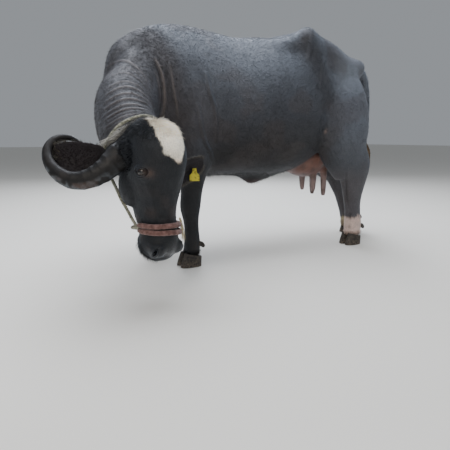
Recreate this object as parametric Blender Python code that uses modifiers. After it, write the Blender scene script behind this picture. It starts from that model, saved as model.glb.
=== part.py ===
"""Water buffalo cow, standing, with the neck bent to her left and the head lowered.

Metres, +Z up. She faces -X and her left flank is on the -Y side. The flesh is made of lofts and
ellipsoids that are fused, smoothed and thinned out, and is then parted into nodes by thin cuts.
"""

import math

import bmesh
import bpy
import numpy as np
from mathutils import Matrix, Vector

GAP = 0.0003                 # clear space between two nodes that meet
WELD = 0.00002               # corners closer than this are one
BODY_VOXEL = 0.016           # grain of the fused body
HEAD_VOXEL = 0.0075          # grain of the fused head
BODY_TRIANGLES = 3950
HEAD_TRIANGLES = 2100
UDDER_TRIANGLES = 600
HORN_TRIANGLES = 560
EAR_TRIANGLES = 300
DEWCLAW_TRIANGLES = 56

LEG_CUT = 0.455              # height at which the legs leave the trunk
CORONET = 0.072              # height of the hoof's upper edge under the middle of the leg
CORONET_SLOPE = 0.22         # the hoof's upper edge falls towards the heel
STANCE = 0.16                # from the middle plane to the middle of each foot

# The head has a frame of its own: first axis to the animal's right, second out of the face, third
# up to the poll. Its zero is on the axis of the head, level with the top of the poll.
HEAD_ZERO = Vector((-0.403, -0.735, 0.837))
FACE = Vector((0.375, -0.927, 0.0)).normalized()
RIGHT = Vector((-0.927, -0.375, 0.0)).normalized()
HEAD_FRAME = Matrix((
    (RIGHT.x, FACE.x, 0.0, HEAD_ZERO.x),
    (RIGHT.y, FACE.y, 0.0, HEAD_ZERO.y),
    (0.0, 0.0, 1.0, HEAD_ZERO.z),
    (0.0, 0.0, 0.0, 1.0),
))

EYE = (0.100, 0.032, -0.214)      # centre of the right eyeball in the head's frame
EYE_RADIUS = 0.0225
EYE_OPENING = (0.021, 0.0135)     # half length and half height of the gap between the lids
LID = 0.0045

# x, top, bottom, half width, and how much wider the section is above than below
TRUNK = (
    (-0.40, 1.080, 0.680, 0.110, 0.00),
    (-0.33, 1.210, 0.590, 0.170, 0.00),
    (-0.22, 1.340, 0.535, 0.220, -0.08),
    (-0.10, 1.403, 0.505, 0.248, -0.16),
    (0.04, 1.410, 0.500, 0.268, -0.20),
    (0.16, 1.392, 0.515, 0.295, -0.18),
    (0.31, 1.366, 0.520, 0.335, -0.14),
    (0.42, 1.369, 0.515, 0.355, -0.10),
    (0.56, 1.392, 0.505, 0.360, -0.06),
    (0.70, 1.424, 0.535, 0.342, 0.00),
    (0.84, 1.440, 0.700, 0.302, 0.07),
    (0.98, 1.402, 0.748, 0.262, 0.06),
    (1.12, 1.375, 0.760, 0.218, 0.00),
    (1.24, 1.335, 0.820, 0.165, 0.00),
    (1.33, 1.300, 0.900, 0.095, 0.00),
)

# x, y, z, half width, height above and depth below the axis
NECK = (
    (-0.02, 0.000, 1.050, 0.195, 0.300, 0.330),
    (-0.17, -0.010, 1.035, 0.190, 0.290, 0.320),
    (-0.258, -0.065, 0.998, 0.158, 0.250, 0.293),
    (-0.338, -0.175, 0.940, 0.148, 0.208, 0.260),
    (-0.418, -0.315, 0.880, 0.148, 0.200, 0.240),
    (-0.440, -0.450, 0.805, 0.141, 0.175, 0.215),
    (-0.445, -0.575, 0.730, 0.130, 0.148, 0.188),
    (-0.430, -0.655, 0.680, 0.105, 0.118, 0.150),
)

# x, distance from the middle plane, z, half length fore and aft, half width
FORELEG = (
    (0.045, 0.150, 1.060, 0.150, 0.080),
    (0.040, 0.180, 0.900, 0.150, 0.090),
    (0.030, 0.190, 0.760, 0.132, 0.086),
    (0.020, 0.188, 0.650, 0.110, 0.076),
    (0.010, 0.178, 0.570, 0.092, 0.066),
    (0.004, 0.170, 0.500, 0.079, 0.059),
    (0.000, 0.164, 0.430, 0.070, 0.055),
    (-0.006, 0.160, 0.360, 0.069, 0.058),
    (-0.004, 0.160, 0.295, 0.056, 0.050),
    (0.000, 0.160, 0.235, 0.050, 0.045),
    (0.002, 0.160, 0.170, 0.054, 0.050),
    (0.003, 0.160, 0.130, 0.056, 0.052),
    (-0.002, 0.160, 0.095, 0.055, 0.053),
    (-0.006, 0.160, 0.050, 0.064, 0.059),
)
HINDLEG = (
    (1.000, 0.130, 1.240, 0.130, 0.050),
    (1.020, 0.150, 1.170, 0.190, 0.068),
    (1.050, 0.176, 1.050, 0.240, 0.092),
    (1.070, 0.194, 0.920, 0.248, 0.108),
    (1.095, 0.202, 0.790, 0.226, 0.108),
    (1.125, 0.197, 0.690, 0.200, 0.092),
    (1.182, 0.186, 0.600, 0.170, 0.074),
    (1.236, 0.175, 0.540, 0.157, 0.060),
    (1.250, 0.168, 0.470, 0.125, 0.052),
    (1.252, 0.163, 0.380, 0.096, 0.048),
    (1.256, 0.160, 0.300, 0.076, 0.047),
    (1.264, 0.160, 0.220, 0.069, 0.050),
    (1.270, 0.160, 0.160, 0.074, 0.057),
    (1.269, 0.160, 0.115, 0.072, 0.058),
    (1.264, 0.160, 0.050, 0.072, 0.060),
)
FAR_FORE_STEP = -0.115       # how far the right forefoot stands ahead of the left one
FAR_HIND_STEP = 0.300        # how far the right hind foot stands behind the left one

STEP_CURVE = 1.4             # how much of such a step lies low in the leg

# height under the poll, half width, extent towards the face, extent towards the jaw
HEAD = (
    (-0.592, 0.062, 0.062, 0.062),
    (-0.558, 0.086, 0.091, 0.090),
    (-0.520, 0.088, 0.099, 0.098),
    (-0.480, 0.078, 0.099, 0.095),
    (-0.430, 0.076, 0.093, 0.132),
    (-0.370, 0.080, 0.097, 0.154),
    (-0.290, 0.099, 0.119, 0.178),
    (-0.225, 0.112, 0.139, 0.195),
    (-0.155, 0.123, 0.148, 0.168),
    (-0.090, 0.121, 0.126, 0.145),
    (-0.040, 0.104, 0.082, 0.125),
    (-0.008, 0.062, 0.035, 0.085),
)

# right horn, as seen along its flat side: distance outwards, height, distance towards the viewer,
# half width and half thickness
HORN = (
    (0.050, -0.122, -0.014, 0.064, 0.036),
    (0.095, -0.130, 0.004, 0.062, 0.034),
    (0.150, -0.154, 0.026, 0.058, 0.031),
    (0.205, -0.206, 0.048, 0.050, 0.027),
    (0.270, -0.243, 0.056, 0.043, 0.024),
    (0.342, -0.252, 0.050, 0.038, 0.022),
    (0.405, -0.224, 0.034, 0.032, 0.020),
    (0.446, -0.176, 0.010, 0.025, 0.018),
    (0.455, -0.124, -0.018, 0.021, 0.016),
    (0.428, -0.086, -0.044, 0.018, 0.014),
    (0.380, -0.077, -0.062, 0.014, 0.011),
    (0.328, -0.098, -0.072, 0.005, 0.005),
)
HORN_SWEEP = {1: 45.0, -1: 57.0}     # degrees that the right and the left horn are swept back
HORN_PIVOT = (0.095, 0.004)          # point of the horn's own table that stands at its root
HORN_ROOT = (0.070, -0.064)          # the root, to the side and towards the face

# root and tip in the head's frame, where the cup looks, how far the middle hangs, and the width
RIGHT_EAR = ((0.087, -0.160, -0.190), (0.288, -0.352, -0.142), (1.0, 0.95, -0.1), 0.006, 0.172)
LEFT_EAR = ((-0.092, -0.095, -0.270), (-0.376, -0.078, -0.195), (-0.10, 1.0, -0.15), 0.004, 0.120)

EAR_THICKNESS = 0.009

# x, y, z, radius
TAIL = (
    (1.300, 0.0, 1.240, 0.054),
    (1.385, 0.0, 1.228, 0.047),
    (1.445, 0.0, 1.165, 0.037),
    (1.478, 0.0, 1.050, 0.030),
    (1.487, 0.0, 0.930, 0.026),
    (1.484, 0.0, 0.820, 0.022),
    (1.484, 0.0, 0.735, 0.018),
)
TAIL_END = 0.74              # height at which the long hair of the switch begins
SWITCH_STUB = ((1.484, 0.0, 0.760, 0.021), (1.486, 0.0, 0.720, 0.019), (1.491, 0.0, 0.690, 0.012))
SWITCH_BELLY = (1.512, 1.521)        # x of the switch's middle at its belly and at its tips
LOCK_ROOT_RADIUS = 0.011             # how far from the middle the locks begin
LOCK_THICKNESS = 0.0034              # half of it, at the thickest place
LOCK_SECTIONS = 6
# layers of locks: how many, first angle, height of the root, radius and height of the belly, radius
# and height of the tip, half width
SWITCH_LAYERS = (
    (6, 0.3, 0.727, 0.028, 0.676, 0.034, 0.606, 0.010),
    (9, 0.0, 0.716, 0.037, 0.626, 0.022, 0.522, 0.013),
    (4, 0.5, 0.706, 0.015, 0.600, 0.009, 0.488, 0.011),
)

NECK_PLANE = (Vector((-0.245, -0.050, 1.0)), Vector((-0.82, -0.57, 0.0)).normalized())

# the line of the mouth on the head's right, its corner last, in the head's frame
MOUTH = (
    (-0.070, -0.075, -0.520), (-0.082, -0.040, -0.556), (-0.058, 0.020, -0.596), (0.0, 0.052, -0.612),
    (0.058, 0.020, -0.596), (0.082, -0.040, -0.556), (0.070, -0.075, -0.520),
)

DEWCLAW = {"fore": 0.064, "hind": 0.076}     # how far behind the foot's middle they stand
DEWCLAW_HEIGHT = 0.128
DEWCLAW_APART = 0.027        # from the leg's middle to the middle of a dewclaw
CLAW_APART = 0.031           # the same for the claws

# rolls of the noseband and the halter's ropes, from the animal's right to its left, in the head's frame
UPPER_ROLL = (
    (0.085, -0.030, -0.447), (0.080, 0.030, -0.447), (0.058, 0.075, -0.446), (0.0, 0.102, -0.445),
    (-0.058, 0.075, -0.450), (-0.080, 0.030, -0.452), (-0.085, -0.030, -0.452),
)
LOWER_ROLL = (
    (0.085, -0.028, -0.472), (0.082, 0.030, -0.472), (0.060, 0.077, -0.473), (0.0, 0.106, -0.474),
    (-0.060, 0.077, -0.484), (-0.082, 0.030, -0.482), (-0.085, -0.028, -0.478),
)
CROWN = (
    (0.085, -0.034, -0.460), (0.078, -0.085, -0.420), (0.080, -0.128, -0.365), (0.090, -0.180, -0.280),
    (0.115, -0.215, -0.190), (0.122, -0.190, -0.110), (0.095, -0.150, -0.045), (0.055, -0.115, -0.014),
    (0.0, -0.102, -0.002), (-0.055, -0.115, -0.014), (-0.095, -0.150, -0.045), (-0.122, -0.190, -0.110),
    (-0.115, -0.215, -0.190), (-0.090, -0.180, -0.280), (-0.080, -0.128, -0.365), (-0.078, -0.085, -0.420),
    (-0.085, -0.034, -0.460),
)
JAW_STRAP = (
    (0.085, -0.030, -0.460), (0.070, -0.090, -0.468), (0.040, -0.125, -0.474), (0.0, -0.135, -0.475),
    (-0.040, -0.125, -0.474), (-0.070, -0.090, -0.468), (-0.085, -0.030, -0.460),
)
TAG_OUTLINE = (
    (-0.025, 0.0), (0.025, 0.0), (0.025, 0.028), (0.012, 0.040), (0.009, 0.062), (-0.009, 0.062),
    (-0.012, 0.040), (-0.025, 0.028),
)
TAG_STUD = 0.054             # the stud's height above the plate's lower edge
TAG_THICKNESS = 0.003
TAG_PLACE = (-0.303, -0.081, -0.286)     # middle of the plate's lower edge in the head's frame
TAG_CLEARANCE = 0.022                    # from the ear to the plate
STUD_RADIUS = 0.0045
BUTTON_RADIUS = 0.011
STUD_STOPS = (0.006, -0.014, -0.034)     # ends and middle of the stud, from the plate's back
BUTTON_STOPS = (-0.031, -0.034, -0.037)

ROLL_RADIUS = 0.0115         # padded roll of the noseband
ROPE_RADIUS = 0.0075
ROPE_SUNK = 0.14             # share of a rope's radius that lies in the hair


def material(name, colour, roughness):
    """A plain opaque material of one colour."""
    shade = bpy.data.materials.new(name)
    shade.use_nodes = True
    shader = shade.node_tree.nodes["Principled BSDF"]
    shader.inputs["Base Color"].default_value = (*colour, 1.0)
    shader.inputs["Roughness"].default_value = roughness
    shader.inputs["Metallic"].default_value = 0.0
    return shade


def start_afresh():
    """Empties the scene."""
    for thing in list(bpy.data.objects):
        bpy.data.objects.remove(thing, do_unlink=True)


def keep(mesh, name):
    """Puts a mesh into the scene as an object of that name."""
    thing = bpy.data.objects.new(name, mesh)
    bpy.context.scene.collection.objects.link(thing)
    return thing


def through(rows, count):
    """Rows of a smooth curve through the given rows, evenly spread over their numbers."""
    rows = np.asarray(rows, float)
    ends = np.vstack((2 * rows[0] - rows[1], rows, 2 * rows[-1] - rows[-2]))
    place = np.linspace(0.0, len(rows) - 1.0, count)
    first = np.minimum(place.astype(int), len(rows) - 2)
    u = (place - first)[:, None]
    a, b, c, d = (ends[first + i] for i in range(4))
    return 0.5 * (2 * b + (c - a) * u + (2 * a - 5 * b + 4 * c - d) * u ** 2
                  + (3 * b - a - 3 * c + d) * u ** 3)


def unit(rows):
    """Each row divided by its length."""
    return rows / np.linalg.norm(rows, axis=1, keepdims=True)


def loft(name, path, wide, high, low, side=None, bias=None, rounds=(0.5, 0.5), around=28):
    """A closed body whose sections follow a path.

    wide, high and low are the section's half width and its extents to either side of the axis,
    side is the direction of the width (level and square to the path where it is left out), bias
    widens the high half and rounds gives the length of each rounded end in half widths.
    """
    along = unit(np.gradient(path, axis=0))
    if side is None:
        first = unit(np.cross((0.0, 0.0, 1.0), along))
    else:
        first = np.tile(np.asarray(side, float), (len(path), 1))
        first = unit(first - (first * along).sum(1, keepdims=True) * along)
    second = np.cross(along, first)
    bias = np.zeros(len(path)) if bias is None else bias
    angle = np.linspace(0.0, 2.0 * math.pi, around, endpoint=False)
    cos, sin = np.cos(angle), np.sin(angle)
    across = wide[:, None] * cos * (1.0 + bias[:, None] * sin)
    up = np.where(sin > 0, high[:, None], low[:, None]) * sin
    rings = path[:, None] + across[..., None] * first[:, None] + up[..., None] * second[:, None]
    rings = list(rings)
    for end, sign, round_ in ((0, -1.0, rounds[0]), (-1, 1.0, rounds[1])):
        if round_ == 0.0:
            continue
        middle, flat = path[end], rings[end]
        capped = [middle + (flat - middle) * math.sqrt(1.0 - s * s)
                  + sign * along[end] * wide[end] * round_ * s for s in (0.5, 0.8, 0.97)]
        rings = capped[::-1] + rings if end == 0 else rings + capped
    points = np.concatenate(rings)
    faces = []
    for i in range(len(rings) - 1):
        for j in range(around):
            k = (j + 1) % around
            faces.append((i * around + j, i * around + k, (i + 1) * around + k, (i + 1) * around + j))
    faces.append(tuple(reversed(range(around))))
    faces.append(tuple(range((len(rings) - 1) * around, len(rings) * around)))
    mesh = bpy.data.meshes.new(name)
    mesh.from_pydata([tuple(p) for p in points], [], faces)
    body = keep(mesh, name)
    outward(body)
    return body


def outward(body):
    """Turns the faces of a body so that they all look out of it."""
    work = bmesh.new()
    work.from_mesh(body.data)
    bmesh.ops.recalc_face_normals(work, faces=work.faces[:])
    if work.calc_volume(signed=True) < 0:
        bmesh.ops.reverse_faces(work, faces=work.faces[:])
    work.to_mesh(body.data)
    work.free()


def tube(name, rows, count=24, around=16, rounds=(0.6, 0.6), side=(0.0, 1.0, 0.0)):
    """A round rod through rows of x, y, z and radius."""
    rows = through(rows, count)
    radius = rows[:, 3]
    return loft(name, rows[:, :3], radius, radius, radius, side, rounds=rounds, around=around)


def ball(name, centre, radii, turn=0.0, tilt=0.0, frame=None):
    """An ellipsoid, turned about the upright and then tilted about the cross axis."""
    work = bmesh.new()
    bmesh.ops.create_icosphere(work, subdivisions=3, radius=1.0)
    place = Matrix.Translation(centre) @ Matrix.Rotation(turn, 4, "Z")
    place = place @ Matrix.Rotation(tilt, 4, "Y") @ Matrix.Diagonal((*radii, 1.0))
    if frame is not None:
        place = frame @ place
    work.transform(place)
    mesh = bpy.data.meshes.new(name)
    work.to_mesh(mesh)
    work.free()
    return keep(mesh, name)


def joined(name, pieces):
    """One object with the faces of all the pieces, which are used up."""
    work = bmesh.new()
    for piece in pieces:
        work.from_mesh(piece.data)
        bpy.data.objects.remove(piece, do_unlink=True)
    mesh = bpy.data.meshes.new(name)
    work.to_mesh(mesh)
    work.free()
    return keep(mesh, name)


def melted(name, pieces, grain, passes):
    """The pieces melted into one smooth skin."""
    body = joined(name, pieces)
    melt = body.modifiers.new("melt", "REMESH")
    melt.mode = "VOXEL"
    melt.voxel_size = grain
    soft = body.modifiers.new("soften", "SMOOTH")
    soft.factor = 0.5
    soft.iterations = passes
    return settled(body, name)


def settled(thing, name):
    """The object's shape with its modifiers worked out, as a new plain object in its place."""
    bpy.context.view_layer.update()
    seen = thing.evaluated_get(bpy.context.evaluated_depsgraph_get())
    mesh = bpy.data.meshes.new_from_object(seen)
    bpy.data.objects.remove(thing, do_unlink=True)
    mesh.name = name
    return keep(mesh, name)


def fused(name, pieces, grain, passes, triangles):
    """The pieces melted into one smooth skin of about so many triangles."""
    return thinned(melted(name, pieces, grain, passes), triangles)


def thinned(body, triangles):
    """The body with about so many triangles."""
    count = sum(len(p.vertices) - 2 for p in body.data.polygons)
    body.modifiers.new("facets", "TRIANGULATE")
    thin = body.modifiers.new("thin", "DECIMATE")
    thin.ratio = min(1.0, triangles / count)
    return largest(settled(body, body.name))


def surfaces_in(work):
    """The faces of a working mesh in groups, one for each separate surface."""
    left = set(work.faces)
    groups = []
    for seed in work.faces:
        if seed not in left:
            continue
        left.discard(seed)
        group, todo = [seed], [seed]
        while todo:
            for edge in todo.pop().edges:
                for face in edge.link_faces:
                    if face in left:
                        left.discard(face)
                        group.append(face)
                        todo.append(face)
        groups.append(group)
    return groups


def largest(body):
    """Keeps only the largest closed surface of a body."""
    work = bmesh.new()
    work.from_mesh(body.data)
    bmesh.ops.remove_doubles(work, verts=work.verts[:], dist=WELD)
    chosen = set(max(surfaces_in(work), key=len))
    bmesh.ops.delete(work, geom=[f for f in work.faces if f not in chosen], context="FACES")
    loose = [v for v in work.verts if not v.link_faces]
    bmesh.ops.delete(work, geom=loose, context="VERTS")
    bmesh.ops.triangulate(work, faces=work.faces[:])
    work.to_mesh(body.data)
    work.free()
    return body


def combined(body, other, how, solver="EXACT"):
    """The Boolean of a body with another one, of which the other is kept."""
    cut = body.modifiers.new("cut", "BOOLEAN")
    cut.operation = how
    cut.object = other
    cut.solver = solver
    return settled(body, body.name)


def united(name, pieces):
    """One closed body of pieces that overlap, which are used up."""
    group = bpy.data.collections.new(name + " pieces")
    for piece in pieces[1:]:
        group.objects.link(piece)
    merge = pieces[0].modifiers.new("merge", "BOOLEAN")
    merge.operand_type = "COLLECTION"
    merge.collection = group
    merge.operation = "UNION"
    body = settled(pieces[0], name)
    for piece in pieces[1:]:
        bpy.data.objects.remove(piece, do_unlink=True)
    bpy.data.collections.remove(group)
    return largest(body)


def without(body, cutter, used_up=True):
    """The body less the cutter."""
    body = combined(body, cutter, "DIFFERENCE")
    if used_up:
        bpy.data.objects.remove(cutter, do_unlink=True)
    return largest(body)


def copied(body, name):
    """A second object of the same shape."""
    return keep(body.data.copy(), name)


def swollen(body, by=GAP):
    """A copy of the body with its skin pushed out a little."""
    copy = copied(body, body.name + " swollen")
    work = bmesh.new()
    work.from_mesh(copy.data)
    work.normal_update()
    shift = [(v, v.normal.copy()) for v in work.verts]
    for vertex, normal in shift:
        vertex.co += normal * by
    work.to_mesh(copy.data)
    work.free()
    return copy


def box(name, low, high):
    """A block between two corners."""
    work = bmesh.new()
    bmesh.ops.create_cube(work, size=1.0)
    low, high = Vector(low), Vector(high)
    size = high - low
    work.transform(Matrix.Translation((low + high) / 2) @ Matrix.Diagonal((*size, 1.0)))
    mesh = bpy.data.meshes.new(name)
    work.to_mesh(mesh)
    work.free()
    return keep(mesh, name)


def sliced_open(body, point, normal):
    """Keeps all that lies behind a plane, in as many pieces as there are, with flat cut faces."""
    work = bmesh.new()
    work.from_mesh(body.data)
    every = work.verts[:] + work.edges[:] + work.faces[:]
    bmesh.ops.bisect_plane(work, geom=every, plane_co=point, plane_no=normal, clear_outer=True)
    rim = [e for e in work.edges if e.is_boundary]
    bmesh.ops.holes_fill(work, edges=rim, sides=0)
    bmesh.ops.triangulate(work, faces=work.faces[:])
    work.to_mesh(body.data)
    work.free()
    return body


def sliced(body, point, normal):
    """Keeps the largest piece of what lies behind a plane and closes the cut with a flat face."""
    return largest(sliced_open(body, point, normal))


def trunk_pieces():
    """Barrel, withers, hips, pins, brisket and the fold of skin at the navel."""
    rows = through(TRUNK, 44)
    middle = (rows[:, 1] + rows[:, 2]) / 2
    half = (rows[:, 1] - rows[:, 2]) / 2
    path = np.stack((rows[:, 0], np.zeros(len(rows)), middle), axis=1)
    pieces = [loft("barrel", path, rows[:, 3], half, half, (0, 1, 0), rows[:, 4], (0.3, 0.35), 40)]
    for side in (-1, 1):
        pieces += [
            tube("hook", ((0.86, side * 0.06, 1.385, 0.060), (0.80, side * 0.16, 1.385, 0.060),
                          (0.752, side * 0.235, 1.382, 0.058), (0.742, side * 0.262, 1.378, 0.058)), 10,
                 side=(1, 0, 0)),
            tube("hook ridge", ((0.742, side * 0.250, 1.370, 0.058), (0.785, side * 0.262, 1.28, 0.060),
                                (0.845, side * 0.254, 1.15, 0.066), (0.91, side * 0.228, 1.02, 0.078)), 12),
            tube("loin shelf", ((0.38, side * 0.130, 1.255, 0.050), (0.56, side * 0.165, 1.290, 0.060),
                                (0.72, side * 0.200, 1.330, 0.062)), 12),
            tube("rump side", ((0.78, side * 0.225, 1.330, 0.062), (0.93, side * 0.195, 1.286, 0.090),
                               (1.10, side * 0.155, 1.212, 0.095), (1.25, side * 0.122, 1.228, 0.072),
                               (1.318, side * 0.110, 1.238, 0.062)), 16),
            ball("shoulder blade", (-0.01, side * 0.150, 1.01), (0.16, 0.085, 0.26), tilt=0.25),
            ball("shoulder point", (-0.21, side * 0.150, 0.86), (0.12, 0.085, 0.17), tilt=0.3),
            ball("flank", (0.93, side * 0.195, 0.82), (0.13, 0.07, 0.13), tilt=-0.5),
        ]
    pieces.append(ball("brisket", (-0.30, -0.01, 0.66), (0.13, 0.115, 0.15), tilt=0.3))
    navel = through(((0.39, 0.585, 0.520, 0.02), (0.44, 0.60, 0.478, 0.034), (0.49, 0.61, 0.432, 0.042),
                     (0.55, 0.61, 0.444, 0.042), (0.62, 0.60, 0.474, 0.036), (0.71, 0.59, 0.512, 0.02)), 18)
    spine = np.stack((navel[:, 0], np.zeros(len(navel)), (navel[:, 1] + navel[:, 2]) / 2), axis=1)
    deep = (navel[:, 1] - navel[:, 2]) / 2
    pieces.append(loft("navel fold", spine, navel[:, 3], deep, deep, (0, 1, 0)))
    return pieces


def leg_piece(name, rows, side, step):
    """One leg from inside the trunk down to the hoof, with the foot set forward or back by step."""
    rows = through(rows, 40)
    top = rows[0, 2]
    shift = step * np.clip(1.0 - rows[:, 2] / top, 0.0, 1.0) ** STEP_CURVE
    path = np.stack((rows[:, 0] + shift, side * rows[:, 1], rows[:, 2]), axis=1)
    return loft(name, path, rows[:, 3], rows[:, 4], rows[:, 4], (1, 0, 0), rounds=(0.5, 0.1), around=24)


def leg_pieces():
    """The four legs, the left ones on the -Y side."""
    return [
        leg_piece("foreleg left", FORELEG, -1, 0.0),
        leg_piece("foreleg right", FORELEG, 1, FAR_FORE_STEP),
        leg_piece("hindleg left", HINDLEG, -1, 0.0),
        leg_piece("hindleg right", HINDLEG, 1, FAR_HIND_STEP),
    ]


def neck_piece():
    """The neck, bent to the left and down."""
    rows = through(NECK, 36)
    return loft("neck", rows[:, :3], rows[:, 3], rows[:, 4], rows[:, 5], rounds=(0.3, 0.4), around=32)


def head_pieces():
    """Skull, jaw, brows and muzzle."""
    rows = through(HEAD, 40)
    path = np.stack((np.zeros(len(rows)), np.zeros(len(rows)), rows[:, 0]), axis=1)
    skull = loft("skull", path, rows[:, 1], rows[:, 2], rows[:, 3], (1, 0, 0), rounds=(0.35, 0.12), around=36)
    skull.data.transform(HEAD_FRAME)
    pieces = [skull]
    for side in (-1, 1):
        pieces += [
            ball("brow", (side * 0.085, 0.034, -0.200), (0.040, 0.055, 0.046), frame=HEAD_FRAME),
            ball("cheek", (side * 0.066, -0.100, -0.285), (0.045, 0.070, 0.095), frame=HEAD_FRAME),
            ball("horn root", (side * 0.085, -0.070, -0.135), (0.055, 0.070, 0.065), frame=HEAD_FRAME),
            ball("nostril wing", (side * 0.050, 0.045, -0.548), (0.040, 0.050, 0.042), frame=HEAD_FRAME),
        ]
    pieces.append(ball("chin", (0.0, -0.045, -0.560), (0.058, 0.050, 0.045), frame=HEAD_FRAME))
    return pieces


def beside_head(out, height, near, side=1):
    """A point given outwards, up and square to that, on the right (1) or left (-1) of the head."""
    sweep = math.radians(HORN_SWEEP[side])
    out, near = out - HORN_PIVOT[0], near - HORN_PIVOT[1]
    right = HORN_ROOT[0] + out * math.cos(sweep) + near * math.sin(sweep)
    face = HORN_ROOT[1] - out * math.sin(sweep) + near * math.cos(sweep)
    return HEAD_FRAME @ Vector((side * right, face, height))


def horn(name, side):
    """A flat horn that droops and curls into a ring around the ear."""
    rows = through(HORN, 44)
    path = np.array([beside_head(*row[:3], side) for row in rows])
    face = beside_head(0, 0, 1, side) - beside_head(0, 0, 0, side)
    body = loft(name, path, rows[:, 4], rows[:, 3], rows[:, 3], tuple(face), rounds=(0.2, 0.8), around=14)
    return thinned(body, HORN_TRIANGLES)


def ear(name, root, tip, facing, droop, breadth):
    """A leaf-shaped cup that closes to a pipe at its root."""
    root, tip = HEAD_FRAME @ Vector(root), HEAD_FRAME @ Vector(tip)
    facing = HEAD_FRAME.to_3x3() @ Vector(facing)
    along = (tip - root).normalized()
    facing = (facing - facing.dot(along) * along).normalized()
    across = along.cross(facing)
    length = (tip - root).length
    s = np.linspace(0.0, 1.0, 22)[:, None]
    t = np.linspace(-1.0, 1.0, 15)[None]
    width = breadth * np.sqrt(np.clip(1.0 - ((s - 0.42) / 0.59) ** 2, 0.0, 1.0)) + 0.010
    half_angle = np.radians(46.0 + 95.0 * np.exp(-(s / 0.16) ** 2))
    radius = width / (2.0 * half_angle)
    phi = t * half_angle
    sag = droop * np.sin(math.pi * s)
    shape = [radius * np.sin(phi), radius * (1.0 - np.cos(phi))]
    points = (np.array(root) + s[..., None] * length * np.array(along)
              + shape[0][..., None] * np.array(across) + shape[1][..., None] * np.array(facing)
              + (sag + 0 * t)[..., None] * np.array((0.0, 0.0, -1.0)))
    rows, cols = points.shape[:2]
    faces = [(i * cols + j, (i + 1) * cols + j, (i + 1) * cols + j + 1, i * cols + j + 1)
             for i in range(rows - 1) for j in range(cols - 1)]
    mesh = bpy.data.meshes.new(name)
    mesh.from_pydata([tuple(p) for p in points.reshape(-1, 3)], [], faces)
    leaf = keep(mesh, name)
    thick = leaf.modifiers.new("thickness", "SOLIDIFY")
    thick.thickness = EAR_THICKNESS
    thick.offset = 0.0
    return thinned(settled(leaf, name), EAR_TRIANGLES)


def claw(name, x, y):
    """One half of a cloven hoof, flat underneath."""
    rows = through(((x - 0.014, y, -0.005, 0.066, 0.0295), (x - 0.009, y, 0.03, 0.062, 0.029),
                    (x - 0.003, y, 0.06, 0.057, 0.028), (x + 0.003, y, 0.100, 0.050, 0.0265)), 4)
    path, long, wide = rows[:, :3], rows[:, 3], rows[:, 4]
    body = loft(name, path, long, wide, wide, (1, 0, 0), rounds=(0.0, 0.0), around=16)
    body = sliced(body, (0, 0, 0), (0, 0, -1))
    slant = Vector((CORONET_SLOPE, 0, 1)).normalized()
    return sliced(body, Vector((x, y, CORONET - GAP / 2)), slant)


def eye_cutter(side):
    """The eyeball's hollow with the almond opening in front of it."""
    centre = Vector((side * EYE[0], EYE[1], EYE[2]))
    hollow = ball("hollow", centre, [EYE_RADIUS + GAP] * 3, frame=HEAD_FRAME)
    look = Vector((side * 0.94, 0.34, 0.0)).normalized()
    outer = look.cross(Vector((0, 0, 1))).normalized()
    ring = []
    for i in range(16):
        angle = 2.0 * math.pi * i / 16
        flat = outer * math.cos(angle) * EYE_OPENING[0]
        ring.append(flat + Vector((0, 0, 1)) * math.sin(angle) * EYE_OPENING[1])
    points = [centre + p for p in ring] + [centre + p * 1.25 + look * 0.07 for p in ring]
    faces = [(i, (i + 1) % 16, 16 + (i + 1) % 16, 16 + i) for i in range(16)]
    faces += [tuple(range(16)), tuple(range(16, 32))]
    mesh = bpy.data.meshes.new("opening")
    mesh.from_pydata([tuple(HEAD_FRAME @ p) for p in points], [], faces)
    opening = keep(mesh, "opening")
    outward(opening)
    socket = combined(hollow, opening, "UNION")
    bpy.data.objects.remove(opening, do_unlink=True)
    return socket


def head_block(name, back):
    """A block in the head's frame that holds the head from a slanted plane behind the jaw forward."""
    corners = []
    for face, height in ((-0.128 + back, 0.25), (-0.325 + back, -0.68), (0.40, -0.68), (0.40, 0.25)):
        corners += [(-0.45, face, height), (0.45, face, height)]
    mesh = bpy.data.meshes.new(name)
    faces = [(0, 1, 3, 2), (2, 3, 5, 4), (4, 5, 7, 6), (6, 7, 1, 0), (0, 2, 4, 6), (1, 7, 5, 3)]
    mesh.from_pydata([tuple(HEAD_FRAME @ Vector(c)) for c in corners], [], faces)
    block = keep(mesh, name)
    outward(block)
    return block


def islands(body):
    """The separate closed surfaces of a body, each as an object, and the body is used up."""
    work = bmesh.new()
    work.from_mesh(body.data)
    found = []
    for group in surfaces_in(work):
        number = {v: i for i, v in enumerate(dict.fromkeys(v for f in group for v in f.verts))}
        mesh = bpy.data.meshes.new(body.name)
        mesh.from_pydata([tuple(v.co) for v in number], [], [[number[v] for v in f.verts] for f in group])
        found.append(keep(mesh, body.name))
    work.free()
    bpy.data.objects.remove(body, do_unlink=True)
    return found


def middle_of(body):
    """The mean of a body's corners."""
    return sum((v.co for v in body.data.vertices), Vector()) / len(body.data.vertices)


def named(body, name, finish):
    """Gives a finished node its name and its material."""
    body.name = name
    body.data.name = name
    body.data.materials.clear()
    body.data.materials.append(finish)
    return body


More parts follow.
